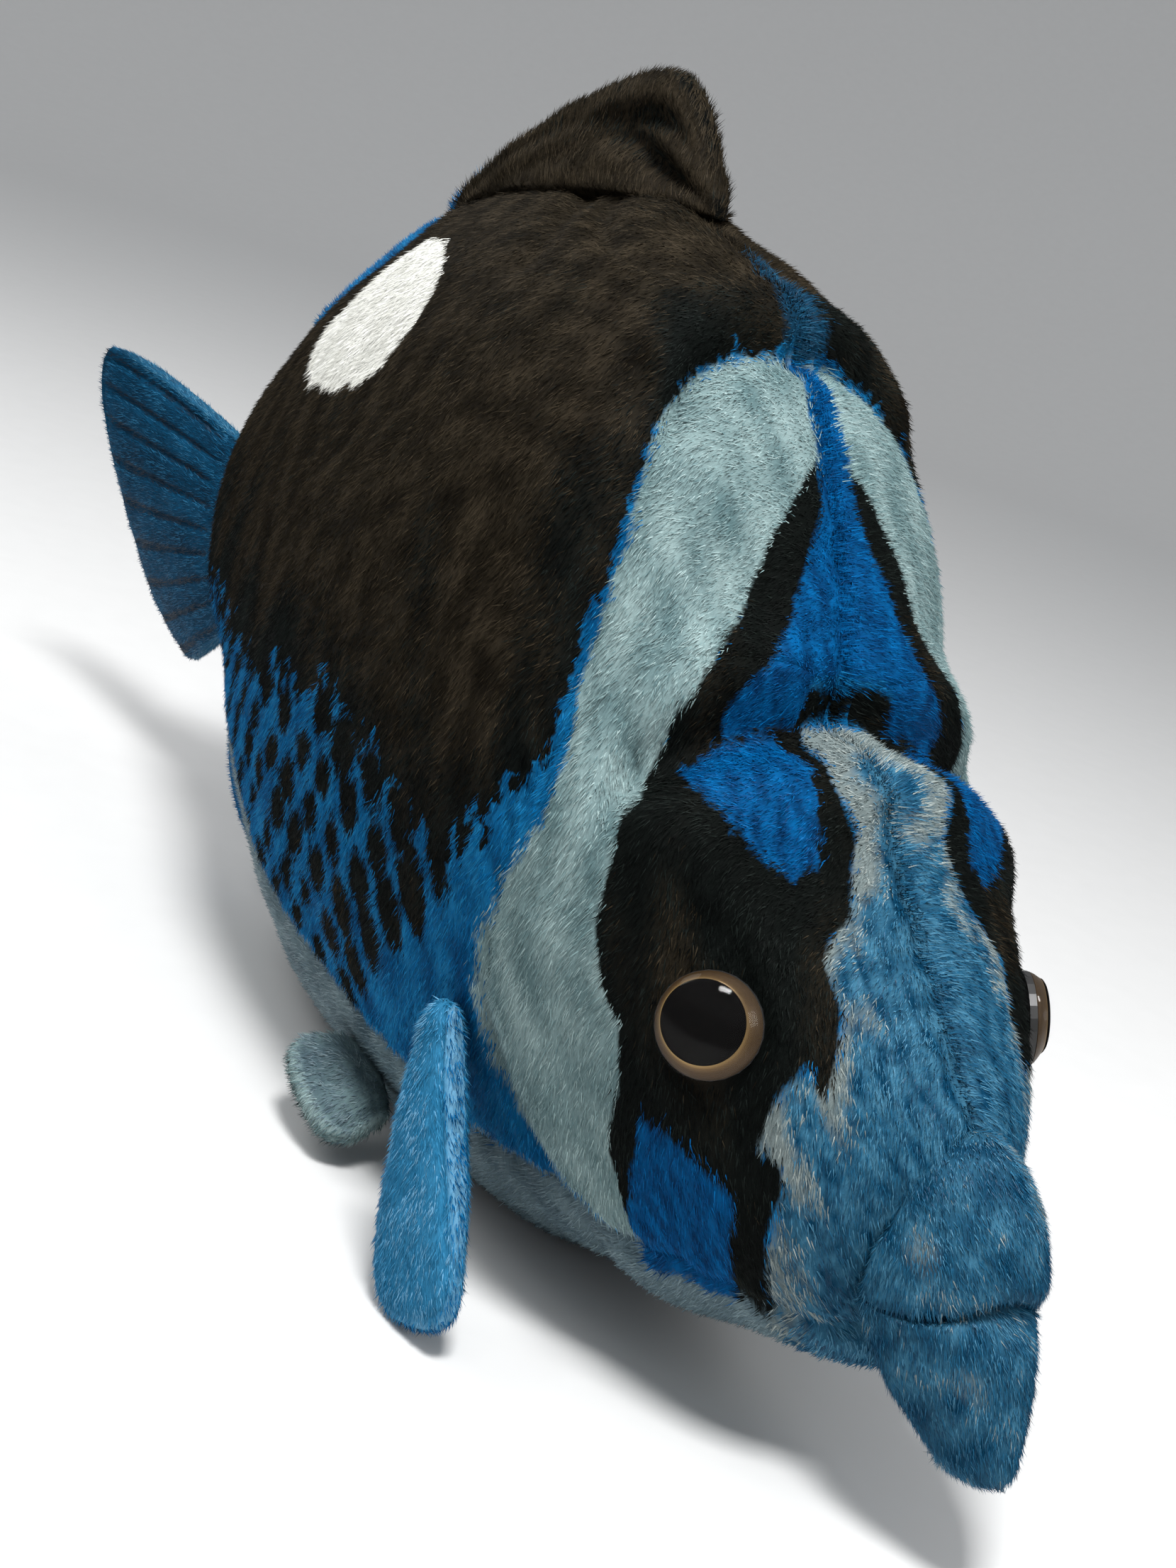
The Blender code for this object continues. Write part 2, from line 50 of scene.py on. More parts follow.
# ---------------------------------------------------------------- the body that everything is sewn to
# One row per station: distance along Y, top, bottom, half width, height of the widest level
STATIONS = np.array((
    (-0.116, 0.067, 0.023, 0.0165, 0.047),
    (-0.104, 0.079, 0.018, 0.0285, 0.052),
    (-0.088, 0.093, 0.013, 0.0390, 0.060),
    (-0.072, 0.107, 0.009, 0.0460, 0.068),
    (-0.058, 0.121, 0.005, 0.0500, 0.073),
    (-0.045, 0.140, 0.000, 0.0525, 0.078),
    (-0.025, 0.165, -0.003, 0.0550, 0.085),
    (0.000, 0.181, -0.005, 0.0550, 0.090),
    (0.030, 0.185, -0.004, 0.0510, 0.093),
    (0.060, 0.181, 0.002, 0.0435, 0.094),
    (0.090, 0.171, 0.014, 0.0335, 0.092),
    (0.115, 0.152, 0.031, 0.0235, 0.087),
    (0.135, 0.126, 0.044, 0.0160, 0.080),
    (0.150, 0.097, 0.052, 0.0105, 0.075),
))
SLOPES = np.gradient(STATIONS[:, 1:], STATIONS[:, 0], axis=0)
NOSE_Y = -0.116
TAIL_Y = 0.150
ROOT_SLANT = 0.42
ROOT_LEVEL = 0.075
NAPE_POWER = 0.82
REAR_POWER = 1.15
NAPE_END_Y = 0.010
REAR_START_Y = 0.075
BELLY_POWER = 1.10
GILL_SEAM = (-0.058, -0.053, -0.047, -0.043, -0.046, -0.068)
BELLY_V = 0.74  # share of the half girth, from the back, where the gusset starts
BACKING_INSET = 0.0009  # the backing cloth lies this far under the tips of the pile
WALL = 0.0011  # thickness of the backing cloth
SEAM_LAP = 0.009  # share of the half girth by which the two side panels cross the back seam
LEFT, RIGHT = 1, -1

EYE_Y = -0.0870
EYE_V = 0.385
EYE_RADIUS = 0.0090
EYE_HEIGHT = 0.0066
PUPIL_RADIUS = 0.0067


def hermite(rows, slopes, k, t, width):
    """A smooth curve through table rows, at share t after row k."""
    start = (2 * t**3 - 3 * t**2 + 1) * rows[k] + (t**3 - 2 * t**2 + t) * width * slopes[k]
    end = (3 * t**2 - 2 * t**3) * rows[k + 1] + (t**3 - t**2) * width * slopes[k + 1]
    return start + end


def station(y):
    """Top, bottom, half width and widest level at distances along the fish."""
    y = np.clip(y, NOSE_Y, TAIL_Y)
    k = np.clip(np.searchsorted(STATIONS[:, 0], y, side="right") - 1, 0, len(STATIONS) - 2)
    width = (STATIONS[k + 1, 0] - STATIONS[k, 0])[..., None]
    t = (y - STATIONS[k, 0])[..., None] / width
    return np.moveaxis(hermite(STATIONS[:, 1:], SLOPES, k, t, width), -1, 0)


def girth(y):
    """Length over one side in millimetres, from the back seam to the middle of the belly."""
    top, bottom, half, _ = station(y)
    return np.pi * np.hypot(half, (top - bottom) / 2) / np.sqrt(2) / MM


def skin_point(y, v, inset=BACKING_INSET):
    """Points of the left half: v is 0 on the back seam and 1 under the belly, and mirrors beyond them."""
    top, bottom, half, level = station(y)
    across = np.abs(v)
    sign = np.where(v < 0, -1.0, 1.0) * np.where(across > 1, -1.0, 1.0)
    across = np.where(across > 1, 2 - across, across)
    upper = across < 0.5
    narrowing = np.clip((y - NAPE_END_Y) / (REAR_START_Y - NAPE_END_Y), 0, 1)
    power = np.where(upper, NAPE_POWER + (REAR_POWER - NAPE_POWER) * narrowing, BELLY_POWER)
    reach = np.where(upper, top - inset - level, level - bottom - inset)
    x = sign * (half - inset) * np.clip(np.sin(np.pi * across), 0, 1) ** power
    z = np.maximum(level + reach * np.cos(np.pi * across), inset)
    root = np.clip((y - 0.1435) / (TAIL_Y - 0.1435), 0, 1)
    muzzle = np.clip((-0.1090 - y) / 0.0070, 0, 1)
    x = x * np.sqrt(1 - 0.90 * root**2) * (1 - 0.24 * muzzle**2)
    z = level + (z - level) * (1 - 0.08 * root**2) * (1 - 0.05 * muzzle**2)
    lean = ROOT_SLANT * np.maximum(0.0, (y - 0.100) / (TAIL_Y - 0.100)) ** 2
    return np.stack((x, y + lean * (z - ROOT_LEVEL), z), -1)


def unit(vectors):
    return vectors / np.maximum(np.linalg.norm(vectors, axis=-1, keepdims=True), 1e-12)


def skin_frame(y, v):
    """Outward normals, and the directions towards the tail and down the side."""
    tailward = skin_point(y + 0.0008, v) - skin_point(y - 0.0008, v)
    down = skin_point(y, v + 0.005) - skin_point(y, v - 0.005)
    return unit(np.cross(down, tailward)), unit(tailward), unit(down)


def gill_y(v):
    return np.interp(v, np.linspace(0, BELLY_V, len(GILL_SEAM)), GILL_SEAM)


# ---------------------------------------------------------------- outlines on the skin laid flat
def lay_flat(y, v):
    """Millimetres along the fish and down the side from the back seam."""
    return np.stack((y / MM, v * girth(y)), -1)


def flat_rows(rows):
    rows = np.array(rows, float)
    return lay_flat(rows[:, 0] * MM, rows[:, 1])


def inside(points, rows):
    """Distance in millimetres to a closed outline given in (mm, v), positive inside it."""
    ring = flat_rows(rows)
    best = np.full(len(points), np.inf)
    odd = np.zeros(len(points), bool)
    for a, b in zip(ring, np.roll(ring, -1, axis=0)):
        edge = b - a
        away = points - a
        t = np.clip(away @ edge / (edge @ edge), 0, 1)
        best = np.minimum(best, np.linalg.norm(away - t[:, None] * edge, axis=1))
        if a[1] != b[1]:
            meets = a[0] + edge[0] * (points[:, 1] - a[1]) / edge[1]
            odd ^= ((a[1] > points[:, 1]) != (b[1] > points[:, 1])) & (points[:, 0] < meets)
    return np.where(odd, best, -best)


def from_line(points, rows):
    """Distance to an open line and how far along it the nearest place is, from 0 to 1."""
    line = flat_rows(rows)
    lengths = np.linalg.norm(np.diff(line, axis=0), axis=1)
    best = np.full(len(points), np.inf)
    place = np.zeros(len(points))
    done = 0.0
    for a, b, length in zip(line[:-1], line[1:], lengths):
        t = np.clip((points - a) @ (b - a) / length**2, 0, 1)
        away = np.linalg.norm(points - a - t[:, None] * (b - a), axis=1)
        nearer = away < best
        place = np.where(nearer, (done + t * length) / lengths.sum(), place)
        best = np.where(nearer, away, best)
        done += length
    return best, place


def ripple(points, wavelength, seed, waves=18):
    """Smooth random patches between about -1 and 1 over flat points, the same on every run."""
    draw = np.random.default_rng(seed)
    turn = draw.uniform(0, 2 * np.pi, waves)
    size = 2 * np.pi / (wavelength * draw.uniform(0.6, 1.7, waves))
    phase = draw.uniform(0, 2 * np.pi, waves)
    total = np.zeros(len(points))
    for k in range(waves):
        total += np.sin(size[k] * (points @ (math.cos(turn[k]), math.sin(turn[k]))) + phase[k])
    return total / math.sqrt(waves)


BACK = (
    (-18, -0.10), (-18, 0.0), (-19, 0.08), (-20, 0.12), (-22, 0.16), (-26, 0.20), (-30, 0.23), (-33, 0.26),
    (-36, 0.28), (-37, 0.31), (-39, 0.34), (-44, 0.39), (-41, 0.44), (-35, 0.52), (-32, 0.55), (-15, 0.54),
    (4, 0.53), (35, 0.55), (65, 0.59), (100, 0.63), (156, 0.62), (156, -0.10),
)
WHITE_PATCH = (
    (83, 0.17), (72, 0.185), (64, 0.21), (55, 0.25), (52, 0.29), (55, 0.33), (61, 0.35), (77, 0.365),
    (93, 0.36), (105, 0.33), (111, 0.29), (112, 0.25), (107, 0.225), (98, 0.20),
)
GREY_BAND = (
    (-19, -0.10), (-19, 0.0), (-19.5, 0.08), (-20.5, 0.14), (-23.5, 0.182), (-29, 0.212), (-33, 0.237), (-36.5, 0.27),
    (-39, 0.30), (-42, 0.34), (-47, 0.38), (-50.5, 0.43), (-46, 0.50), (-43, 0.55), (-43, 0.60), (-47, 0.63),
    (-55, 0.67), (-64, 0.71), (-76, 0.73), (-78, 0.76), (-90, 0.76), (-84, 0.60), (-78, 0.50), (-68, 0.38),
    (-58, 0.25), (-52, 0.14), (-44, 0.05), (-39, 0.0), (-39, -0.10),
)
BACK_STRIPE = ((-19.5, -0.014), (-19.5, 0.016), (-12, 0.018), (-4, 0.010), (4, 0.004), (4, -0.01))
NAPE_STRIPE = (
    (-34, 0.012), (-38, 0.045), (-42, 0.072), (-46, 0.10), (-49, 0.125), (-52, 0.17), (-55, 0.23), (-58, 0.30),
    (-62, 0.30), (-62, 0.17), (-57, 0.125), (-54, 0.085), (-51, 0.060), (-46, 0.035), (-42, 0.012), (-38, 0.006),
)
EYE_BAND = (
    (-56, 0.22), (-58, 0.29), (-60, 0.34), (-63, 0.39), (-66, 0.45), (-70, 0.49), (-75, 0.51), (-77, 0.56),
    (-77, 0.63), (-80, 0.69), (-83, 0.73), (-85, 0.77), (-104, 0.77), (-104.5, 0.72), (-104.5, 0.53),
    (-103, 0.44), (-99, 0.49), (-98.5, 0.40), (-99, 0.30), (-103, 0.31), (-100, 0.24), (-97, 0.19),
    (-90, 0.18), (-86, 0.10), (-77, 0.058), (-70, 0.078), (-64, 0.058), (-61, 0.045), (-60, 0.0),
    (-57.5, -0.03), (-57, 0.03), (-58, 0.055), (-60, 0.12), (-59, 0.20),
)
NAPE_BLUE = (
    (-19.5, -0.012), (-19.5, 0.010), (-30, 0.014), (-40, 0.018), (-46, 0.045), (-51, 0.068), (-55, 0.105),
    (-57.5, 0.165), (-60.5, 0.165), (-61, 0.06), (-57, 0.045), (-56, 0.0), (-56, -0.04), (-40, -0.012),
)
FOREHEAD_BLUE = ((-60.5, 0.25), (-60.8, 0.15), (-62.5, 0.085), (-68, 0.096), (-79, 0.118), (-80, 0.165), (-76, 0.20), (-69, 0.235))
CHEEK_BLUE = ((-82, 0.575), (-88, 0.555), (-99, 0.555), (-99.5, 0.66), (-98, 0.77), (-83, 0.77), (-81, 0.71), (-81.5, 0.64))
SNOUT = (
    (-61, -0.05), (-61, 0.045), (-64, 0.058), (-70, 0.078), (-77, 0.058), (-86, 0.10), (-90, 0.18), (-97, 0.19),
    (-100, 0.24), (-102, 0.30), (-98, 0.31), (-98, 0.49), (-103, 0.47), (-104, 0.53), (-104, 0.80), (-98, 1.10),
    (-128, 1.10), (-128, -0.05),
)
NECK_FOLD = ((-55, 0.36), (-57, 0.30), (-59, 0.25), (-61, 0.15), (-62.5, 0.06), (-60.5, 0.0))
BROW_CREST = ((-66, 0.31), (-69, 0.20), (-71, 0.10), (-71, 0.03))
NAPE_CREST = ((-50, 0.26), (-53, 0.17), (-55, 0.08))
BAND_VALLEY = ((-40, 0.33), (-45, 0.24), (-50, 0.10))
HUMP_FOLD = ((-20, 0.0), (-20, 0.07), (-21.5, 0.12), (-25, 0.165))
HUMP_CREST = ((-12, 0.0), (-12, 0.09), (-15, 0.15))
SPIKE_CREASE = ((30, 0.19), (37, 0.13), (46, 0.045))
SPIKE_CREASE_LOW = ((14, 0.13), (26, 0.11), (36, 0.055))


def spot_places():
    """Centres, in (mm, v), and sizes of the dark spots under the dark back."""
    draw = np.random.default_rng(41)
    spots = []
    for row, v in enumerate(np.arange(0.545, 0.735, 0.0345)):
        for y in np.arange(-30.0, 142.0, 12.4):
            here = y + (6.2 if row % 2 else 0.0) + draw.uniform(-1.3, 1.3)
            v_here = v + draw.uniform(-0.004, 0.004)
            size = (1.12 - 0.0026 * (here + 30)) * draw.uniform(0.78, 1.16) * (1.1 - 1.2 * (v - 0.545))
            if here > -30 + (v - 0.54) * 120:
                spots.append((here, v_here, size))
    return spots


SPOTS = spot_places()


def print_on(y, v, side):
    """Signed distances in millimetres to each part of the print, and two patchy fields."""
    flat = lay_flat(y, v)
    seed = 10 if side == LEFT else 20
    ragged = ripple(flat, 3.2, seed) * 0.7 + ripple(flat, 9.0, seed + 1) * 0.5
    wavy = ripple(flat, 7.0, seed + 2) * 0.45
    spots = np.full(len(flat), -9.0)
    for here, v_here, size in SPOTS:
        centre = lay_flat(np.array((here * MM,)), np.array((v_here,)))[0]
        away = (flat - centre) / (np.array((4.4, 4.3)) * size)
        spots = np.maximum(spots, (1 - np.hypot(*away.T)) * 2.6 * size)
    back = inside(flat, BACK)
    torn = 1.2 + 2.6 * np.clip((v - 0.40) / 0.10, 0, 1) * np.clip((y / MM + 60) / 25, 0, 1)
    dark = np.maximum(back + ragged * torn, spots + ragged * 0.45)
    dark = np.maximum(dark, inside(flat, NAPE_STRIPE) + wavy)
    dark = np.maximum(dark, inside(flat, EYE_BAND) + wavy)
    vivid = np.maximum(inside(flat, NAPE_BLUE), inside(flat, CHEEK_BLUE))
    vivid = np.maximum(vivid, inside(flat, FOREHEAD_BLUE) + ragged * 0.8)
    belly = (v - 0.735) * girth(y)
    pale = np.maximum(inside(flat, GREY_BAND) + ragged * 0.8, belly)
    band = inside(flat, EYE_BAND)
    depth = np.minimum(back, np.where(band > 0, 30.0, back))
    return {
        "dark": dark,
        "white": inside(flat, WHITE_PATCH) + wavy * 0.6,
        "stripe": inside(flat, BACK_STRIPE) + wavy,
        "pale": pale,
        "vivid": vivid + wavy * 0.5,
        "snout": inside(flat, SNOUT) + wavy,
        "belly": belly,
        "cream": 1.05 + band / 4.2 + 1.3 * np.clip((y / MM + 82) / 16, 0, 1) + 0.75 * ripple(flat, 9, seed + 6),
        "green": ripple(flat, 26, seed + 3) * 0.25 + np.clip((20 - depth) / 20, 0, 1) - 0.25,
        "patchy": ripple(flat, 11, seed + 4),
        "fleck": ripple(flat, 4.5, seed + 5),
    }


def bell(distance, width):
    return np.exp(-((distance / width) ** 2))


def relief(y, v, side):
    """How far the stuffed skin stands out, in millimetres: folds, seams, puckers and lumps."""
    flat = lay_flat(y, v)
    out = np.zeros(len(flat))
    away, along = from_line(flat, NECK_FOLD)
    out -= 6.4 * bell(away, 3.8) * np.clip(along / 0.16, 0, 1)
    out += 3.0 * bell(from_line(flat, BROW_CREST)[0], 7.0)
    out -= 3.8 * bell(from_line(flat, HUMP_FOLD)[0], 2.8)
    out += 3.0 * bell(from_line(flat, HUMP_CREST)[0], 6.0)
    ridge = np.clip((flat[:, 0] - 16) / 14, 0, 1) * np.clip((112 - flat[:, 0]) / 24, 0, 1)
    out += 4.0 * bell(flat[:, 1], 13.0) * ridge * (2 - ridge)
    out += 1.6 * bell(from_line(flat, NAPE_CREST)[0], 4.5)
    out -= 2.0 * bell(from_line(flat, BAND_VALLEY)[0], 5.5)
    out -= 2.6 * bell(from_line(flat, SPIKE_CREASE)[0], 4.0)
    out -= 1.8 * bell(from_line(flat, SPIKE_CREASE_LOW)[0], 3.5)
    seam = (y - gill_y(v)) / MM * 0.85
    below = np.clip((v - 0.30) / 0.10, 0, 1)
    out -= 2.0 * bell(seam, 2.2) * below
    out += 2.0 * bell(seam + 9.0, 7.0) * below
    out += 0.45 * np.cos(flat[:, 1] * 2 * np.pi / 7.5) * bell(seam, 5.0) * below
    centre = flat[:, 1]
    out -= 0.7 * bell(centre, 2.0)
    out += 0.35 * np.cos(flat[:, 0] * 2 * np.pi / 8.0) * bell(centre, 5.0)
    gusset = (v - BELLY_V) * girth(y)
    out -= 1.7 * bell(gusset, 2.3)
    out += 0.4 * np.cos(flat[:, 0] * 2 * np.pi / 8.5) * bell(gusset, 5.0)
    eye = np.hypot(*(flat - lay_flat(np.array((EYE_Y,)), np.array((EYE_V,)))[0]).T)
    out += 1.5 * bell(eye - 17, 6.0)
    socket = np.clip((13.0 - eye) / 4.0, 0, 1)
    points = skin_point(y, v) * (side, 1, 1)
    lumps = [
        1.1 * noise.noise(Vector(p) * 26) + 0.5 * noise.noise(Vector(p) * 62 + Vector((3, 1, 7))) for p in points
    ]
    out += np.array(lumps) * np.clip((points[:, 2] / MM - 3) / 8, 0, 1)
    return out * (1 - socket) - 0.4 * socket


def body_surface(y, v, side, sunk=0.0):
    """Finished points of the skin on one side, or of a layer sunk beneath it."""
    normal, _, _ = skin_frame(y, v)
    points = skin_point(y, v) + normal * ((relief(y, v, side) * MM - sunk)[:, None])
    points[:, 2] = np.maximum(points[:, 2], BACKING_INSET + sunk)
    return points * (side, 1, 1)


# ---------------------------------------------------------------- making and shaping pieces
def alone():
    bpy.ops.object.select_all(action="DESELECT")


def places(obj):
    here = np.empty(len(obj.data.vertices) * 3)
    obj.data.vertices.foreach_get("co", here)
    return here.reshape(-1, 3)


def move_to(obj, points):
    obj.data.vertices.foreach_set("co", np.ascontiguousarray(points, float).ravel())
    obj.data.update()


def fresh_sheet(name, across, along):
    """A flat cloth from a grid, with each vertex's share across and along it."""
    alone()
    bpy.ops.mesh.primitive_grid_add(x_subdivisions=across, y_subdivisions=along, size=1)
    obj = bpy.context.object
    obj.name = obj.data.name = name
    share = places(obj) + 0.5
    return obj, np.clip(share[:, 0], 0, 1), np.clip(share[:, 1], 0, 1)


def fresh_ball(name, around, along):
    """A closed form from a ball, with each vertex's angle round it and share from pole to pole."""
    alone()
    bpy.ops.mesh.primitive_uv_sphere_add(segments=around, ring_count=along, radius=1)
    obj = bpy.context.object
    obj.name = obj.data.name = name
    here = places(obj)
    return obj, np.arctan2(here[:, 1], here[:, 0]), np.arccos(np.clip(-here[:, 2], -1, 1)) / np.pi


def keep(obj, name, values):
    """Stores numbers or vectors on the piece's points, for its finish and its pile."""
    kind = "FLOAT" if values.ndim == 1 else "FLOAT_VECTOR"
    layer = obj.data.attributes.new(name, kind, "POINT")
    layer.data.foreach_set("value" if values.ndim == 1 else "vector", np.ascontiguousarray(values, np.float32).ravel())


def kept(obj, name):
    layer = obj.data.attributes[name]
    wide = 1 if layer.data_type == "FLOAT" else 3
    values = np.empty(len(layer.data) * wide, np.float32)
    layer.data.foreach_get("value" if wide == 1 else "vector", values)
    return values if wide == 1 else values.reshape(-1, 3)


def in_edit(obj, *steps):
    """Runs edit-mode operators on the whole piece."""
    alone()
    obj.select_set(True)
    bpy.context.view_layer.objects.active = obj
    bpy.ops.object.mode_set(mode="EDIT")
    bpy.ops.mesh.select_all(action="SELECT")
    for step, settings in steps:
        getattr(bpy.ops.mesh, step)(**settings)
    bpy.ops.object.mode_set(mode="OBJECT")


def face_outward(obj, outward):
    """Turns the faces round if they look against the given outward directions."""
    normals = np.empty(len(obj.data.vertices) * 3)
    obj.data.vertex_normals.foreach_get("vector", normals)
    if (normals.reshape(-1, 3) * outward).sum() < 0:
        in_edit(obj, ("flip_normals", {}))


def smooth(obj):
    alone()
    obj.select_set(True)
    bpy.context.view_layer.objects.active = obj
    bpy.ops.object.shade_smooth()


def with_wall(obj, thickness):
    """Gives an open cloth its thickness inwards."""
    alone()
    obj.select_set(True)
    bpy.context.view_layer.objects.active = obj
    wall = obj.modifiers.new("wall", "SOLIDIFY")
    wall.thickness = thickness
    wall.offset = -1
    bpy.ops.object.modifier_apply(modifier="wall")


def dress(obj, *materials):
    obj.data.materials.clear()
    for material in materials:
        obj.data.materials.append(material)


# ---------------------------------------------------------------- finishes
class Wire:
    """A shader socket that takes part in Python arithmetic."""

    def __init__(self, finish, socket):
        self.finish = finish
        self.socket = socket

    def sum_of(self, operation, *values):
        settings = {"operation": operation}
        return self.finish.node("ShaderNodeMath", settings, dict(enumerate(values)))

    def __add__(self, other):
        return self.sum_of("ADD", self, other)

    def __radd__(self, other):
        return self.sum_of("ADD", other, self)

    def __sub__(self, other):
        return self.sum_of("SUBTRACT", self, other)

    def __rsub__(self, other):
        return self.sum_of("SUBTRACT", other, self)

    def __mul__(self, other):
        return self.sum_of("MULTIPLY", self, other)

    def __rmul__(self, other):
        return self.sum_of("MULTIPLY", other, self)

    def __truediv__(self, other):
        return self.sum_of("DIVIDE", self, other)

    def __pow__(self, other):
        return self.sum_of("POWER", self, other)

    def at_least(self, other):
        return self.sum_of("MAXIMUM", self, other)

    def held(self):
        """Kept between 0 and 1."""
        return self.sum_of("MINIMUM", self.sum_of("MAXIMUM", self, 0.0), 1.0)


class Finish:
    """A material under construction, on one Principled shader."""

    def __init__(self, name, **plain):
        self.material = bpy.data.materials.new(name)
        self.material.use_nodes = True
        self.tree = self.material.node_tree
        self.shader = self.tree.nodes["Principled BSDF"]
        self.set(**plain)

    def node(self, kind, settings, inputs, output=0):
        made = self.tree.nodes.new(kind)
        for key, value in settings.items():
            if key == "stops":
                ramp = made.color_ramp.elements
                while len(ramp) < len(value):
                    ramp.new(0.5)
                for stop, (place, colour) in zip(ramp, value):
                    stop.position = place
                    stop.color = (*colour, 1.0)
            else:
                setattr(made, key, value)
        for key, value in inputs.items():
            if isinstance(value, Wire):
                self.tree.links.new(value.socket, made.inputs[key])
            else:
                made.inputs[key].default_value = value
        return Wire(self, made.outputs[output])

    def set(self, **values):
        """Sets the shader's sockets; base_color stands for Base Color."""
        for key, value in values.items():
            socket = self.shader.inputs[key.replace("_", " ").title().replace("Ior", "IOR")]
            if isinstance(value, Wire):
                self.tree.links.new(value.socket, socket)
            elif isinstance(value, tuple):
                socket.default_value = (*value, 1.0)
            else:
                socket.default_value = value

    def layer(self, name, output="Fac"):
        return self.node("ShaderNodeAttribute", {"attribute_name": name}, {}, output)

    def place(self):
        return self.node("ShaderNodeTexCoord", {}, {}, "Object")

    def stretched(self, vector, scale):
        return self.node("ShaderNodeVectorMath", {"operation": "MULTIPLY"}, {0: vector, 1: scale})

    def grain(self, vector, scale, detail=2.0, rough=0.5):
        inputs = {"Vector": vector, "Scale": scale, "Detail": detail, "Roughness": rough}
        return self.node("ShaderNodeTexNoise", {}, inputs)

    def blend(self, share, first, second):
        inputs = {0: share}
        for key, value in ((6, first), (7, second)):
            inputs[key] = (*value, 1.0) if isinstance(value, tuple) else value
        return self.node("ShaderNodeMix", {"data_type": "RGBA"}, inputs, 2)

    def raised(self, height, strength, distance):
        inputs = {"Height": height, "Strength": strength, "Distance": distance}
        self.set(normal=self.node("ShaderNodeBump", {}, inputs))


# Colours of the dyed pile, from deep in the pile to its tips
DYES = {
    "brown": ((0.0070, 0.0052, 0.0028), (0.0145, 0.0112, 0.0064), (0.0360, 0.0275, 0.0170)),
    "black": ((0.0012, 0.0018, 0.0016), (0.0030, 0.0044, 0.0038), (0.0090, 0.0125, 0.0110)),
    "blue": ((0.0004, 0.058, 0.165), (0.0010, 0.105, 0.280), (0.0100, 0.180, 0.400)),
    "vivid": ((0.0001, 0.032, 0.108), (0.0001, 0.062, 0.200), (0.0004, 0.110, 0.320)),
    "pale": ((0.105, 0.180, 0.190), (0.185, 0.280, 0.285), (0.300, 0.410, 0.410)),
    "mottle": ((0.0020, 0.045, 0.100), (0.0090, 0.092, 0.180), (0.0550, 0.190, 0.300)),
    "tail": ((0.0010, 0.034, 0.078), (0.0030, 0.066, 0.145), (0.0200, 0.125, 0.240)),
    "sky": ((0.0090, 0.140, 0.290), (0.0420, 0.245, 0.450), (0.1500, 0.380, 0.590)),
    # painted shade for the tail's ray grooves
    "navy": ((0.0003, 0.006, 0.016), (0.0008, 0.014, 0.034), (0.0030, 0.030, 0.065)),
    "cream": ((0.110, 0.150, 0.155), (0.190, 0.235, 0.235), (0.320, 0.365, 0.350)),
    "white": ((0.700, 0.700, 0.640), (0.840, 0.840, 0.780), (0.930, 0.930, 0.880)),
    "belly": ((0.075, 0.120, 0.145), (0.120, 0.180, 0.210), (0.190, 0.265, 0.290)),
    "teal": ((0.0012, 0.022, 0.050), (0.0030, 0.042, 0.090), (0.0100, 0.080, 0.150)),
}
DYE_ORDER = [(name, k) for name in DYES for k in range(3)]
DYE_INDEX = {name: 3 * k for k, name in enumerate(DYES)}


def fibre_finish(name, depth):
    """One dyed fibre, a little silky."""
    dull = name in ("brown", "black")
    return Finish(
        f"fibre_{name}_{depth}", base_color=DYES[name][depth], roughness=0.60 if dull else 0.42,
        specular_ior_level=0.05 if dull or name in ("blue", "vivid", "tail") else 0.16,
    ).material


FIBRES = [fibre_finish(name, depth) for name, depth in DYE_ORDER]


def edge(field, soft):
    """A share from 0 to 1 that crosses over where a field in millimetres passes zero."""
    return (field / soft + 0.5).held()


def pile_ground(finish, colour, lay):
    """The backing seen between fibres: streaked along the pile, dull, with a furrowed surface and painted shade in its
    furrows.
    """
    streaks = finish.grain(finish.stretched(lay, (2.4, 0.55, 1.0)), 1.0, 3.0, 0.6)
    clumps = finish.grain(finish.stretched(lay, (0.50, 0.22, 1.0)), 1.0, 2.0)
    # painted shade: where the bumped surface lies low, in its furrows, the colour falls to a darkened copy
    shade = (streaks * 0.9 + clumps * 0.5 - 0.25).held()
    deep = finish.blend(0.45, colour, (0.0, 0.0, 0.0))
    finish.set(base_color=finish.blend(shade, deep, colour), roughness=0.55 + streaks * 0.3)
    finish.set(specular_ior_level=0.04)
    finish.raised(streaks + clumps * 0.6, 0.6, 0.0007)
    return finish.material


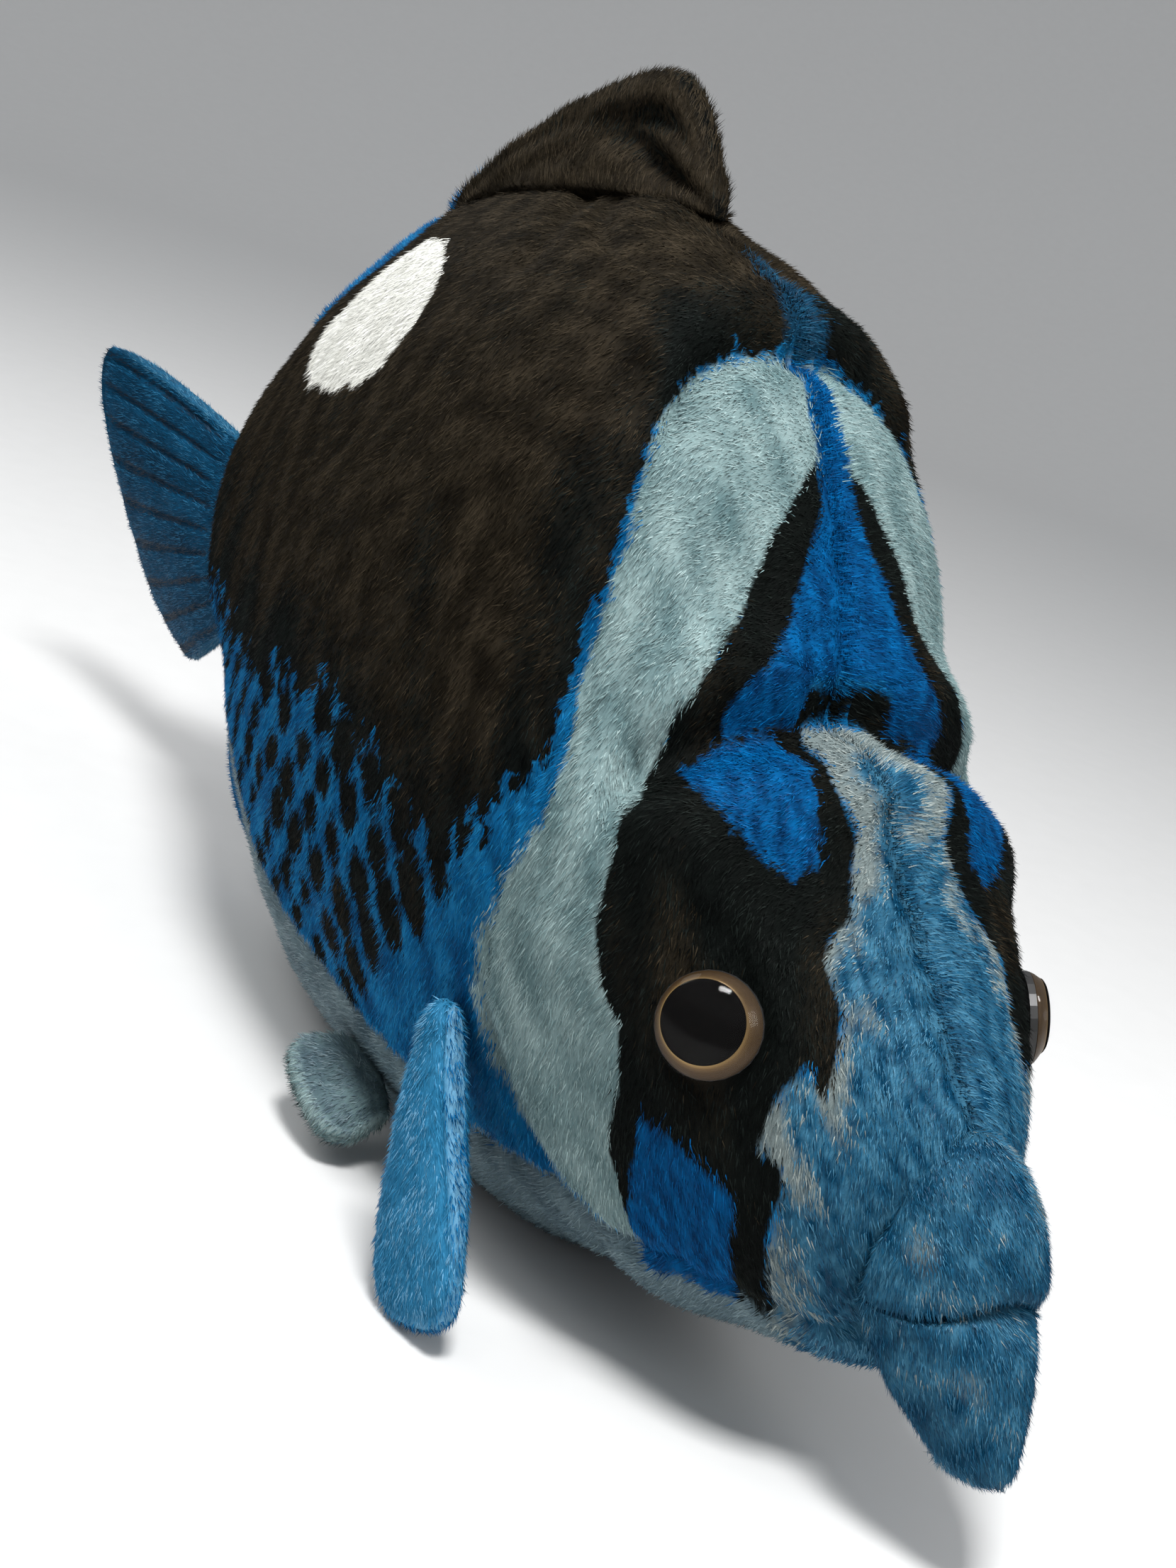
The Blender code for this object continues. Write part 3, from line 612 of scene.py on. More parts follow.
def print_finish(name):
    """The printed pile skin, coloured by the distances kept on its points."""
    f = Finish(name)
    lay = f.layer("lay", "Vector")
    fray = f.grain(f.stretched(lay, (1.3, 0.38, 1.0)), 1.0, 3.0, 0.7) * 3.2 - 1.6
    mix = f.blend
    patchy = f.layer("patchy")
    fleck = f.layer("fleck")
    colour = mix((patchy * 0.35 + 0.5).held(), DYES["blue"][0], DYES["blue"][2])
    pale = mix((patchy * 0.30 + 0.5).held(), DYES["pale"][0], DYES["pale"][2])
    colour = mix(edge(f.layer("pale") + fray, 1.4), colour, pale)
    belly = mix((patchy * 0.30 + 0.5).held(), DYES["belly"][0], DYES["belly"][2])
    colour = mix(edge(f.layer("belly") + fray, 3.0), colour, belly)
    mottle = mix((fleck * 0.45 + 0.5).held(), DYES["mottle"][0], DYES["mottle"][2])
    mottle = mix((f.layer("cream") * 0.8 + fray * 0.12).held(), mottle, DYES["cream"][1])
    colour = mix(edge(f.layer("snout") + fray, 1.4), colour, mottle)
    brown = mix((patchy * 0.35 + 0.5).held(), DYES["brown"][0], DYES["brown"][2])
    dark = mix((f.layer("green") * 0.9 + 0.3).held(), brown, DYES["black"][1])
    colour = mix(edge(f.layer("dark") + fray * 0.6, 0.9), colour, dark)
    colour = mix(edge(f.layer("stripe") + fray, 2.0) * 0.8, colour, DYES["teal"][1])
    vivid = mix((fleck * 0.4 + 0.5).held(), DYES["vivid"][0], DYES["vivid"][2])
    colour = mix(edge(f.layer("vivid") + fray * 0.6, 0.9), colour, vivid)
    colour = mix(edge(f.layer("white") + fray * 0.3, 0.8), colour, DYES["white"][1])
    return pile_ground(f, colour, lay)


def dyed_finish(name, deep, tips, accent, accent_layer):
    """A pile cloth of one dye, with patches and a second tone where a kept layer asks for it."""
    f = Finish(name)
    lay = f.layer("lay", "Vector")
    patchy = f.grain(f.stretched(lay, (0.09, 0.07, 1.0)), 1.0, 3.0, 0.6)
    colour = f.blend((patchy * 2.2 - 0.6).held(), deep, tips)
    colour = f.blend(f.layer(accent_layer).held(), colour, accent)
    return pile_ground(f, colour, lay)


def filling_finish():
    f = Finish("polyester_filling", specular_ior_level=0.2, sheen_weight=0.3)
    curls = f.grain(f.place(), 420.0, 5.0, 0.65)
    f.set(base_color=f.blend(curls, (0.62, 0.62, 0.60), (0.88, 0.88, 0.86)), roughness=0.7 + curls * 0.25)
    f.raised(curls, 0.8, 0.0012)
    return f.material


def pouch_finish():
    """Plain woven pellet pouch."""
    f = Finish("pouch_cloth", specular_ior_level=0.2)
    warp = f.node("ShaderNodeTexWave", {"bands_direction": "X"}, {"Vector": f.place(), "Scale": 420.0})
    weft = f.node("ShaderNodeTexWave", {"bands_direction": "Y"}, {"Vector": f.place(), "Scale": 420.0})
    thread = warp * 0.5 + weft * 0.5
    f.set(base_color=f.blend(thread, (0.42, 0.40, 0.36), (0.66, 0.63, 0.58)), roughness=0.75 + thread * 0.15)
    f.raised(thread, 0.5, 0.0003)
    return f.material


def moulded_finish(name, dark, light, shine):
    """Moulded plastic with a faint flow grain."""
    f = Finish(name)
    flow = f.grain(f.place(), 260.0, 3.0)
    f.set(base_color=f.blend(flow, dark, light), roughness=shine + flow * 0.12)
    f.raised(flow, 0.15, 0.0001)
    return f.material


def iris_finish():
    """Gold-brown metallic paint behind the dome, darker outward, with a painted highlight ring at the pupil; painted
    shade darkens the paint away from the lower back, so painted light stays on that side.
    """
    f = Finish("eye_iris_paint", metallic=0.35, specular_ior_level=0.25)
    ring = f.layer("ring")
    specks = f.grain(f.place(), 2600.0, 3.0, 0.6)
    # the bright stop just outside the pupil is a painted highlight ring
    stops = (
        (0.0, (0.20, 0.12, 0.04)), (0.750, (0.34, 0.215, 0.080)), (0.79, (0.12, 0.068, 0.022)),
        (0.84, (0.050, 0.026, 0.009)), (0.92, (0.030, 0.014, 0.005)), (1.0, (0.016, 0.007, 0.003)),
    )
    paint = f.node("ShaderNodeValToRGB", {"stops": stops}, {"Fac": ring})
    # painted shade away from the lower back, painted light towards it
    paint = f.blend((0.85 - f.layer("glow")).held(), paint, (0.020, 0.010, 0.004))
    f.set(base_color=f.blend(specks * 0.10, paint, (0.40, 0.27, 0.12)), roughness=0.34 + specks * 0.2)
    f.raised(specks, 0.25, 0.0001)
    return f.material


def pupil_finish():
    f = Finish("eye_pupil_paint", specular_ior_level=0.0)
    cloud = f.grain(f.place(), 900.0, 2.0)
    f.set(base_color=f.blend(cloud, (0.0015, 0.0015, 0.0016), (0.0040, 0.0036, 0.0034)), roughness=0.5 + cloud * 0.2)
    return f.material


def dome_finish():
    """Clear moulded plastic: mostly see-through, with a hard thin gloss that varies a little."""
    f = Finish("eye_dome_clear", base_color=(1.0, 1.0, 1.0), metallic=1.0)
    wipe = f.grain(f.place(), 300.0, 3.0)
    f.set(roughness=0.015 + wipe * 0.03)
    clear = f.tree.nodes.new("ShaderNodeBsdfTransparent")
    joined = f.tree.nodes.new("ShaderNodeMixShader")
    f.tree.links.new((0.006 + wipe * 0.003).socket, joined.inputs[0])
    f.tree.links.new(clear.outputs[0], joined.inputs[1])
    f.tree.links.new(f.shader.outputs[0], joined.inputs[2])
    f.tree.links.new(joined.outputs[0], f.tree.nodes["Material Output"].inputs[0])
    return f.material


def floor_finish():
    f = Finish("studio_paper", specular_ior_level=0.15)
    tooth = f.grain(f.place(), 90.0, 4.0)
    f.set(base_color=f.blend(tooth, (0.64, 0.64, 0.635), (0.67, 0.67, 0.665)), roughness=0.85 + tooth * 0.1)
    return f.material


FILLING = filling_finish()

# ---------------------------------------------------------------- camera, floor and lights
CAMERA_AT = Vector((-0.258, -0.287, 0.190))
CAMERA_AZIMUTH = math.radians(-42)
CAMERA_RISE = math.radians(16.4)
CAMERA_ROLL = math.radians(18.8)
SIGHT = math.radians(42)  # angle of view over the picture's height


def add_camera():
    a, e, r = CAMERA_AZIMUTH, CAMERA_RISE, CAMERA_ROLL
    back = Vector((math.sin(a) * math.cos(e), -math.cos(a) * math.cos(e), math.sin(e)))
    right = Vector((math.cos(a), math.sin(a), 0))
    up = Vector((-math.sin(e) * math.sin(a), math.sin(e) * math.cos(a), math.cos(e)))
    turned_right = right * math.cos(r) + up * math.sin(r)
    turned_up = up * math.cos(r) - right * math.sin(r)
    data = bpy.data.cameras.new("camera")
    data.sensor_fit = "VERTICAL"
    data.sensor_height = 24.0
    data.sensor_width = 24.0
    data.lens = 12.0 / math.tan(SIGHT / 2)
    data.clip_start = 0.01
    camera = bpy.data.objects.new("camera", data)
    bpy.context.scene.collection.objects.link(camera)
    columns = Matrix((turned_right, turned_up, back)).transposed().to_4x4()
    camera.matrix_world = Matrix.Translation(CAMERA_AT) @ columns
    bpy.context.scene.camera = camera


def add_floor():
    """A wide pale sweep that rises all round, far from the fish."""
    floor, round_, share = fresh_ball("studio_floor", 96, 64)
    reach = 4.0 * share
    rise = np.maximum(reach - 1.8, 0.0)
    points = np.stack((reach * np.cos(round_), reach * np.sin(round_), 0.45 * rise**2), -1)
    move_to(floor, points)
    bpy.ops.object.mode_set(mode="EDIT")
    bpy.ops.mesh.select_all(action="DESELECT")
    bpy.ops.object.mode_set(mode="OBJECT")
    for vertex in floor.data.vertices:
        vertex.select = bool(share[vertex.index] > 0.97)
    bpy.ops.object.mode_set(mode="EDIT")
    bpy.ops.mesh.delete(type="VERT")
    bpy.ops.object.mode_set(mode="OBJECT")
    face_outward(floor, np.tile((0.0, 0.0, 1.0), (len(floor.data.vertices), 1)))
    smooth(floor)
    dress(floor, floor_finish())


def add_light(name, at, size, power, aim=(0.0, -0.02, 0.08)):
    data = bpy.data.lights.new(name, "AREA")
    data.shape = "RECTANGLE"
    data.size, data.size_y = size
    data.energy = power
    light = bpy.data.objects.new(name, data)
    light.location = at
    light.rotation_mode = "QUATERNION"
    light.rotation_quaternion = (Vector(aim) - Vector(at)).to_track_quat("-Z", "Y")
    bpy.context.scene.collection.objects.link(light)


def add_lights():
    add_light("key_panel", (-0.26, -0.24, 0.85), (0.22, 0.17), 9.5)
    add_light("front_panel", (0.25, -0.75, 0.55), (0.40, 0.30), 2.0)
    add_light("back_panel", (-0.35, 0.60, 0.70), (0.50, 0.40), 3.0)
    world = bpy.data.worlds.new("studio")
    world.use_nodes = True
    world.node_tree.nodes["Background"].inputs[0].default_value = (0.95, 0.97, 1.0, 1.0)
    world.node_tree.nodes["Background"].inputs[1].default_value = 0.55
    bpy.context.scene.world = world
    bpy.context.scene.view_settings.view_transform = "Standard"


# ---------------------------------------------------------------- pile
def corners_of(obj):
    """Triangles of the cloth, their areas, and the places and normals of its points."""
    mesh = obj.data
    mesh.calc_loop_triangles()
    triangles = np.empty(len(mesh.loop_triangles) * 3, np.int32)
    mesh.loop_triangles.foreach_get("vertices", triangles)
    triangles = triangles.reshape(-1, 3)
    normals = np.empty(len(mesh.vertices) * 3)
    mesh.vertex_normals.foreach_get("vector", normals)
    points = places(obj)
    a, b, c = (points[triangles[:, k]] for k in range(3))
    area = np.linalg.norm(np.cross(b - a, c - a), axis=1) / 2
    return triangles, area, points, normals.reshape(-1, 3)


def grow_pile(cloth, name, seed, per_mm2, length, dye_of, lift=0.38, width=0.00023, drop=None, part=None):
    """Slim closed fibres rooted all over a cloth, lying along its nap; dye_of picks each one's dye."""
    draw = np.random.default_rng(seed)
    triangles, area, points, normals = corners_of(cloth)
    count = int(area.sum() * 1e6 * per_mm2)
    picked = triangles[np.searchsorted(np.cumsum(area) / area.sum(), draw.random(count)).clip(0, len(area) - 1)]
    share = np.sqrt(draw.random(count))[:, None]
    other = draw.random(count)[:, None]
    weights = (1 - share, share * (1 - other), share * other)

    def at(values):
        values = values if values.ndim > 1 else values[:, None]
        total = sum(w * values[picked[:, k]] for k, w in enumerate(weights))
        return total if total.shape[1] > 1 else total[:, 0]

    def layer(key):
        return at(kept(cloth, key))

    root, normal, nap = at(points), unit(at(normals)), layer("nap")
    grown = np.ones(count, bool) if drop is None else ~drop(root)
    dye = dye_of(layer, draw, count)
    if part is not None:
        grown &= part(layer)
    root, normal, nap, dye = root[grown], normal[grown], nap[grown], dye[grown]
    count = len(root)
    nap = unit(nap - normal * (nap * normal).sum(1)[:, None])
    swirl = ripple(root / MM @ np.array(((1, 0.3), (0.4, 1), (0.7, -0.6))), 22, seed) * 0.20
    stray = draw.normal(0, 0.20, count) + swirl
    side = np.cross(normal, nap)
    lying = nap * np.cos(stray)[:, None] + side * np.sin(stray)[:, None]
    parting = 0.55 * bell(layer("lay")[grown][:, 1], 1.8)
    rise = np.clip(draw.normal(lift, 0.14, count) + parting, 0.12, 1.3)[:, None]
    along = lying * np.cos(rise) + normal * np.sin(rise)
    up = unit(normal - along * (normal * along).sum(1)[:, None])
    side = np.cross(up, along)
    long = (length * draw.uniform(0.70, 1.15, count))[:, None]
    wide = (width * draw.uniform(0.75, 1.25, count))[:, None]
    base = root - normal * 0.0002
    tip = base + along * long
    corners = np.stack((base - side * wide / 2, base + side * wide / 2, base + up * wide * 0.6, tip), 1)
    corners[..., 2] = np.maximum(corners[..., 2], 0.0002)
    tilt = normal + side * draw.normal(0, 0.28, count)[:, None] + lying * draw.normal(0.05, 0.16, count)[:, None]
    facing = np.stack((tilt - side * 0.55, tilt + side * 0.55, tilt + up * 0.4, tilt + along * 0.25), 1)
    start = 4 * np.arange(count)[:, None, None]
    faces = start + np.array(((0, 1, 3), (1, 2, 3), (2, 0, 3), (0, 2, 1)))
    mesh = bpy.data.meshes.new(name)
    mesh.vertices.add(4 * count)
    mesh.vertices.foreach_set("co", corners.ravel())
    mesh.loops.add(12 * count)
    mesh.loops.foreach_set("vertex_index", faces.ravel().astype(np.int32))
    mesh.polygons.add(4 * count)
    mesh.polygons.foreach_set("loop_start", np.arange(0, 12 * count, 3, dtype=np.int32))
    mesh.polygons.foreach_set("material_index", np.repeat(dye, 4).astype(np.int32))
    mesh.polygons.foreach_set("use_smooth", np.ones(4 * count, bool))
    mesh.update(calc_edges=True)
    mesh.normals_split_custom_set_from_vertices(unit(facing.reshape(-1, 3)))
    pile = bpy.data.objects.new(name, mesh)
    bpy.context.scene.collection.objects.link(pile)
    for material in FIBRES:
        mesh.materials.append(material)
    return pile


def tinted(name, patchy, draw, count):
    """Tone of each fibre within one dye: patches, and a scatter of dark and light fibres."""
    tone = np.clip(np.round(1 + patchy * 0.45 + draw.normal(0, 0.62, count)), 0, 2)
    return DYE_INDEX[name] + tone


def print_dye(layer, draw, count):
    """The printed dye at each fibre's root."""
    fray = draw.normal(0, 0.45, count)
    patchy, fleck = layer("tip_patchy"), layer("tip_fleck")
    dye = tinted("blue", patchy, draw, count)
    pale = tinted("pale", patchy, draw, count)
    dye = np.where(layer("tip_pale") + fray * 2.0 > 0, pale, dye)
    dye = np.where(layer("tip_belly") + fray * 2.0 > 0, tinted("belly", patchy, draw, count), dye)
    cream = layer("tip_cream") + fleck * 0.3 + draw.normal(0, 0.45, count) > 0.45
    mottle = np.where(cream, tinted("cream", fleck, draw, count), tinted("mottle", fleck * 0.45 + patchy * 0.8, draw, count))
    dye = np.where(layer("tip_snout") + fray > 0, mottle, dye)
    black = layer("tip_green") + draw.normal(0, 0.22, count) > 0.30
    dark = np.where(black, tinted("black", patchy, draw, count), tinted("brown", patchy, draw, count))
    dye = np.where(layer("tip_dark") + fray > 0, dark, dye)
    dye = np.where(layer("tip_stripe") + fray * 2.5 > 0, tinted("teal", patchy, draw, count), dye)
    dye = np.where(layer("tip_vivid") + fray > 0, tinted("vivid", fleck, draw, count), dye)
    return np.where(layer("tip_white") + fray * 0.7 > 0, tinted("white", patchy, draw, count), dye)


# ---------------------------------------------------------------- body skins
PRINT = print_finish("printed_pile")


def eye_place(side):
    """Where an eye sits: its own Z points out of the face."""
    y, v = np.array((EYE_Y,)), np.array((EYE_V,))
    here = skin_point(y, v, 0.0)[0]
    along = skin_point(y + 0.001, v, 0.0)[0] - here
    round_ = skin_point(y, v + 0.005, 0.0)[0] - here
    normal = unit(np.cross(round_, along))
    if normal[0] < 0:
        normal = -normal
    seat = (here + normal * 0.0009) * (side, 1, 1)
    out = Vector(normal * (side, 1, 1))
    turn = Vector((0, 0, 1)).rotation_difference(out).to_matrix().to_4x4()
    return Matrix.Translation(Vector(seat)) @ turn


def under_eye(root):
    """Fibres that the plastic eyes would cover."""
    covered = np.zeros(len(root), bool)
    for side in (LEFT, RIGHT):
        place = np.array(eye_place(side).inverted())
        local = root @ place[:3, :3].T + place[:3, 3]
        covered |= (np.hypot(local[:, 0], local[:, 1]) < EYE_RADIUS + 0.0002) & (np.abs(local[:, 2]) < 0.012)
    return covered


def keep_print(obj, y, v, side, overhang):
    """Keeps the print at each point, and where a fibre rooted there shows it, further down the nap."""
    for name, values in print_on(y, v, side).items():
        keep(obj, name, values)
    for name, values in print_on(y, v + overhang / girth(y), side).items():
        keep(obj, "tip_" + name, values)


def mark_skin(obj, y, v, side):
    """Keeps the print, the lay of the cloth and the nap on a skin's points."""
    _, tailward, down = skin_frame(y, v)
    noseward = np.clip((-0.070 - y) / 0.030, 0, 1)[:, None] * 0.75
    keep(obj, "nap", unit(down - tailward * noseward) * (side, 1, 1))
    flat = lay_flat(y, v)
    keep(obj, "lay", np.column_stack((flat, np.full(len(flat), 40.0 * side))))
    keep_print(obj, y, v, side, 1.5)


def sew_skin(obj, parts, replaced, seed, per_mm2, width):
    """Finishes a skin panel and grows its pile."""
    smooth(obj)
    dress(obj, PRINT)
    for word, low, high in parts:
        def part(layer, low=low, high=high):
            here = layer("lay")[:, 0]
            return (here >= low) & (here < high)
        pile = grow_pile(obj, f"{replaced}_pile{word}", seed, per_mm2, 0.0023, print_dye, width=width,
                         drop=under_eye, part=part)
        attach(pile, "fish_body")
    with_wall(obj, WALL)
    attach(obj, "fish_body")
    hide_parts(replaced)


def side_skin(word, side, part, start, end, across, along, parts, seed):
    """One printed side panel, from the back seam down to the gusset."""
    replaced = f"{word}_{part}_skin"
    obj, a, b = fresh_sheet(replaced + "_cloth", across, along)
    v = BELLY_V * a - SEAM_LAP * (1 - a)
    y = start(np.maximum(v, 0)) * (1 - b) + end(np.maximum(v, 0)) * b
    points = body_surface(y, v, side)
    move_to(obj, points)
    face_outward(obj, points - np.array((0, 0.02, 0.08)))
    mark_skin(obj, y, v, side)
    sew_skin(obj, parts, replaced, seed, 2.9, 0.00024)


def belly_skin():
    obj, a, b = fresh_sheet("belly_gusset_cloth", 64, 190)
    way = 2 * a - 1
    side = np.where(way < 0, RIGHT, LEFT)
    v = 1 - (1 - BELLY_V) * np.abs(way)
    y = NOSE_Y * (1 - b) + TAIL_Y * b
    points = np.where((side == LEFT)[:, None], body_surface(y, v, LEFT), body_surface(y, v, RIGHT))
    move_to(obj, points)
    face_outward(obj, points - np.array((0, 0.02, 0.08)))
    _, tailward, down = skin_frame(y, v)
    flat = lay_flat(y, v)
    keep(obj, "nap", unit(tailward + down * 0.3 * np.column_stack((side, side * 0 + 1, side * 0 + 1))))
    keep(obj, "lay", np.column_stack((flat[:, 0], flat[:, 1] * side, np.zeros(len(flat)))))
    keep_print(obj, y, v, LEFT, 0.0)
    sew_skin(obj, (("", -999, 999),), "belly_gusset", 77, 1.8, 0.00030)


def filling_form(name, low, high, pockets):
    """The stuffing inside a part of the body, with hollows behind the eyes."""
    obj, turn, share = fresh_ball(name + "_form", 72, 48)
    side = np.where(np.cos(turn) >= 0, LEFT, RIGHT)
    v = np.abs(np.arctan2(np.abs(np.cos(turn)), np.sin(turn))) / np.pi
    y = low(v) * (1 - share) + high(v) * share
    points = np.where((side == LEFT)[:, None], body_surface(y, v, LEFT, 0.0045), body_surface(y, v, RIGHT, 0.0045))
    middle = np.column_stack((np.zeros(len(y)), y, station(y)[3]))
    taper = np.sqrt(np.clip(1 - np.abs(2 * share - 1) ** 7, 0, 1))[:, None]
    points = middle + (points - middle) * taper
    points[:, 2] = np.maximum(points[:, 2], 0.0205 if not pockets else 0.0)
    if pockets:
        for way in (LEFT, RIGHT):
            place = np.array(eye_place(way).inverted())
            local = points @ place[:3, :3].T + place[:3, 3]
            near = np.clip((0.0135 - np.hypot(local[:, 0], local[:, 1])) / 0.0035, 0, 1)
            near = near * (local[:, 2] > -0.018)
            local[:, 2] = np.minimum(local[:, 2], -0.014 * near + local[:, 2] * (1 - near))
            points = (local - place[:3, 3]) @ np.linalg.inv(place[:3, :3]).T
    move_to(obj, points)
    in_edit(obj, ("normals_make_consistent", {"inside": False}))
    smooth(obj)
    dress(obj, FILLING)
    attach(obj, "fish_body")
    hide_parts(name)


# ---------------------------------------------------------------- fins
class Fin:
    """A padded fin: a root line, a tip line and the frame that its flat plane lies in."""

    def __init__(self, root, tip, origin, chord, span, loft, open_root, twist=0.0):
        self.root = np.array(root, float)
        self.tip = np.array(tip, float)
        self.origin = np.array(origin, float)
        self.chord = unit(np.array(chord, float))
        self.span = unit(np.array(span, float))
        self.normal = unit(np.cross(self.chord, self.span))
        self.loft = loft
        self.open_root = open_root
        self.twist = twist
        self.reach = np.linalg.norm(self.tip[len(tip) // 2] - self.root[len(root) // 2])
        self.breadth = np.linalg.norm(self.tip[-1] - self.tip[0])

    def half_thick(self, s, r):
        side = np.sqrt(np.clip(np.sin(np.pi * s), 0, 1))
        rise = np.sin(np.pi / 2 * np.clip(r / 0.4, 0, 1))
        fall = self.open_root + (1 - self.open_root) * rise
        return self.loft * side * fall * np.sqrt(np.clip(1 - np.clip(r, 0, 1) ** 2.5, 0, 1))

    def place(self, s, r, height):
        k = np.clip((s * (len(self.root) - 1)).astype(int), 0, len(self.root) - 2)
        t = (s * (len(self.root) - 1) - k)[:, None]
        lines = [hermite(line, np.gradient(line, axis=0), k, t, 1.0) for line in (self.root, self.tip)]
        c, h = (lines[0] * (1 - r[:, None]) + lines[1] * r[:, None]).T[:, :, None]
        turn = (self.twist * np.clip(r, 0, 1))[:, None]
        chord = self.chord * np.cos(turn) + self.normal * np.sin(turn)
        normal = self.normal * np.cos(turn) - self.chord * np.sin(turn)
        return self.origin + chord * c + self.span * h + normal * height[:, None]


def fin_height(fin, s, r, way, shape, sink):
    """Half thickness with the cloth on it, closed at the rim and sunk into the body at the root."""
    rim = np.minimum(np.minimum(s, 1 - s) * fin.breadth, (1 - r) * fin.reach) / MM
    near = np.clip(rim / 2.0, 0, 1)
    cloth = 0.00105 * np.sqrt(1 - (1 - near) ** 2) - 0.00045 * bell(rim - 2.6, 0.9)
    height = fin.half_thick(s, r) * 0.97 + cloth
    height += shape(s, r, way) * MM * np.clip(rim / 4.0, 0, 1)
    closing = np.sqrt(np.clip(1 - (np.clip(-r, 0, sink) / sink) ** 2, 0, 1))
    return np.maximum(height, 0.0) * closing


def fin_form(name, fin, shape, sink, grid, lumps=0.35, round_off=0.07):
    """A closed padded fin: two faces joined round the rim."""
    faces = []
    for way in (1, -1):
        obj, a, b = fresh_sheet(f"{name}_{'front' if way > 0 else 'rear'}", grid, grid)
        s = 0.65 * a + 0.35 * (0.5 - 0.5 * np.cos(np.pi * a))
        out = 0.6 * b + 0.4 * np.sin(np.pi / 2 * b)
        r = -sink + (1 + sink) * out
        height = fin_height(fin, s, r, way, shape, sink)
        at_rim = np.clip(r, 0, 1)
        r = r * (1 - round_off * at_rim * np.abs(2 * s - 1) ** 7)
        s = 0.5 + (s - 0.5) * (1 - round_off * at_rim**7)
        flat = fin.place(s, r, np.zeros(len(s)))
        bumps = np.array([noise.noise(Vector(p) * 90 + Vector((way, 0, 0))) for p in flat]) * lumps * MM
        rim = np.clip(height / 0.002, 0, 1)
        points = fin.place(s, r, way * (height + bumps * rim))
        move_to(obj, points)
        ahead = fin.place(s, np.clip(r + 0.03, -1, 1.03), way * height)
        keep(obj, "nap", unit(ahead - fin.place(s, r, way * height)))
        edge_mm = np.minimum(np.minimum(s, 1 - s) * fin.breadth, (1 - r) * fin.reach) / MM
        keep(obj, "lay", np.column_stack((s * fin.breadth / MM, r * fin.reach / MM, np.full(len(s), 9.0 * way))))
        keep(obj, "s", s)
        keep(obj, "r", r)
        keep(obj, "rim", edge_mm)
        keep(obj, "way", np.full(len(s), float(way)))
        faces.append(obj)
    alone()
    for obj in faces:
        obj.select_set(True)
    bpy.context.view_layer.objects.active = faces[0]
    bpy.ops.object.join()
    form = faces[0]
    form.name = form.data.name = name
    in_edit(form, ("remove_doubles", {"threshold": 0.00002}), ("normals_make_consistent", {"inside": False}))
    smooth(form)
    return form


def flat_shape(s, r, way):
    return np.zeros(len(s))


def tail_rays(s, r, way):
    """Stitched ray lines that open from the root to the rim."""
    phase = (s * 9.0) % 1.0
    return -1.25 * bell(phase - 0.5, 0.13) * np.clip((r - 0.05) / 0.2, 0, 1) * np.clip((1.0 - r) / 0.12, 0, 1)


def spike_creases(s, r, way):
    """Soft folds where the tall spike slumps."""
    low = bell((r - 0.30 - 0.5 * (s - 0.25)) * 24, 3.2) * bell((s - 0.30) * 60, 13)
    high = bell((r - 0.62 + 0.35 * (s - 0.3)) * 24, 2.6) * bell((s - 0.38) * 60, 12)
    wave = 0.9 * np.sin(s * 17 + r * 5) * np.sin(r * 6 + 1)
    flare = (4.0 - 2.2 * s) * np.exp(-np.clip(r, -0.12, 2) / 0.22) * np.sin(np.pi * np.clip(s, 0, 1)) ** 0.7
    return -3.4 * low - 2.4 * high + wave * 0.8 + flare


def paddle_puff(s, r, way):
    return 0.5 * np.sin(np.pi * s) * np.sin(np.pi * np.clip(r, 0, 1))


def lobe_dimple(s, r, way):
    """One stitch pulled through the middle of the lobe."""
    away = np.hypot((s - 0.5) * 24, (r - 0.55) * 17)
    return -1.8 * bell(away, 2.6)


def fin_dye(main, rim_dye, rim_mm, groove=None, groove_shade_dye=None):
    def dye_of(layer, draw, count):
        flat = layer("lay")[:, :2]
        patchy = ripple(flat, 12, 5) + 0.5 * ripple(flat, 4, 6)
        dye = tinted(main, patchy, draw, count)
        edge_on = layer("rim") + draw.normal(0, 0.6, count) < rim_mm
        dye = np.where(edge_on, tinted(rim_dye, patchy, draw, count), dye)
        if groove is not None:
            # painted shade: fibres deep in the grooves of the fin's shape take the darker groove dye
            deep = groove(layer("s"), layer("r"), layer("way")) + draw.normal(0, 0.10, count) < -0.42
            dye = np.where(deep, tinted(groove_shade_dye, patchy - 0.5, draw, count), dye)
        return dye
    return dye_of


def under_skin(root):
    """Fibres on the part of a fin that is sunk into the back or the belly."""
    top, bottom, half, level = station(root[:, 1])
    upper = root[:, 2] > level
    rise = np.where(upper, (root[:, 2] - level) / (top - level), (level - root[:, 2]) / (level - bottom))
    across = half * np.sqrt(np.clip(1 - np.clip(rise, 0, 1) ** 2, 0, 1))
    return (rise < 1.0) & (np.abs(root[:, 0]) < across - 0.0012) & (root[:, 1] < 0.13)


def bend_at_root(piece, fin, root_share):
    """Bakes a fin piece's placement into its mesh; two points at the root are worked out but not used, and nothing
    turns.
    """
    middle = np.array((0.5,))
    start, end = (fin.place(middle, np.array((share,)), np.zeros(1))[0] for share in (0.0, root_share))
    tuple(start)
    tuple(end)
    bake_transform(piece)


def finish_fin(form, fin, finish, dye_of, replaced, seed, root_share, density=3.2, length=0.0019):
    """Pile and finish of one fin, with the placement of its cloth and pile baked in."""
    keep(form, "accent", np.clip(1.3 - kept(form, "rim") / 1.6, 0, 1))
    dress(form, finish)
    pile = grow_pile(form, form.name + "_pile", seed, density, length, dye_of, lift=0.42, width=0.00023,
                     drop=under_skin)
    for piece in (form, pile):
        bend_at_root(piece, fin, root_share)
    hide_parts(*replaced)
    return form


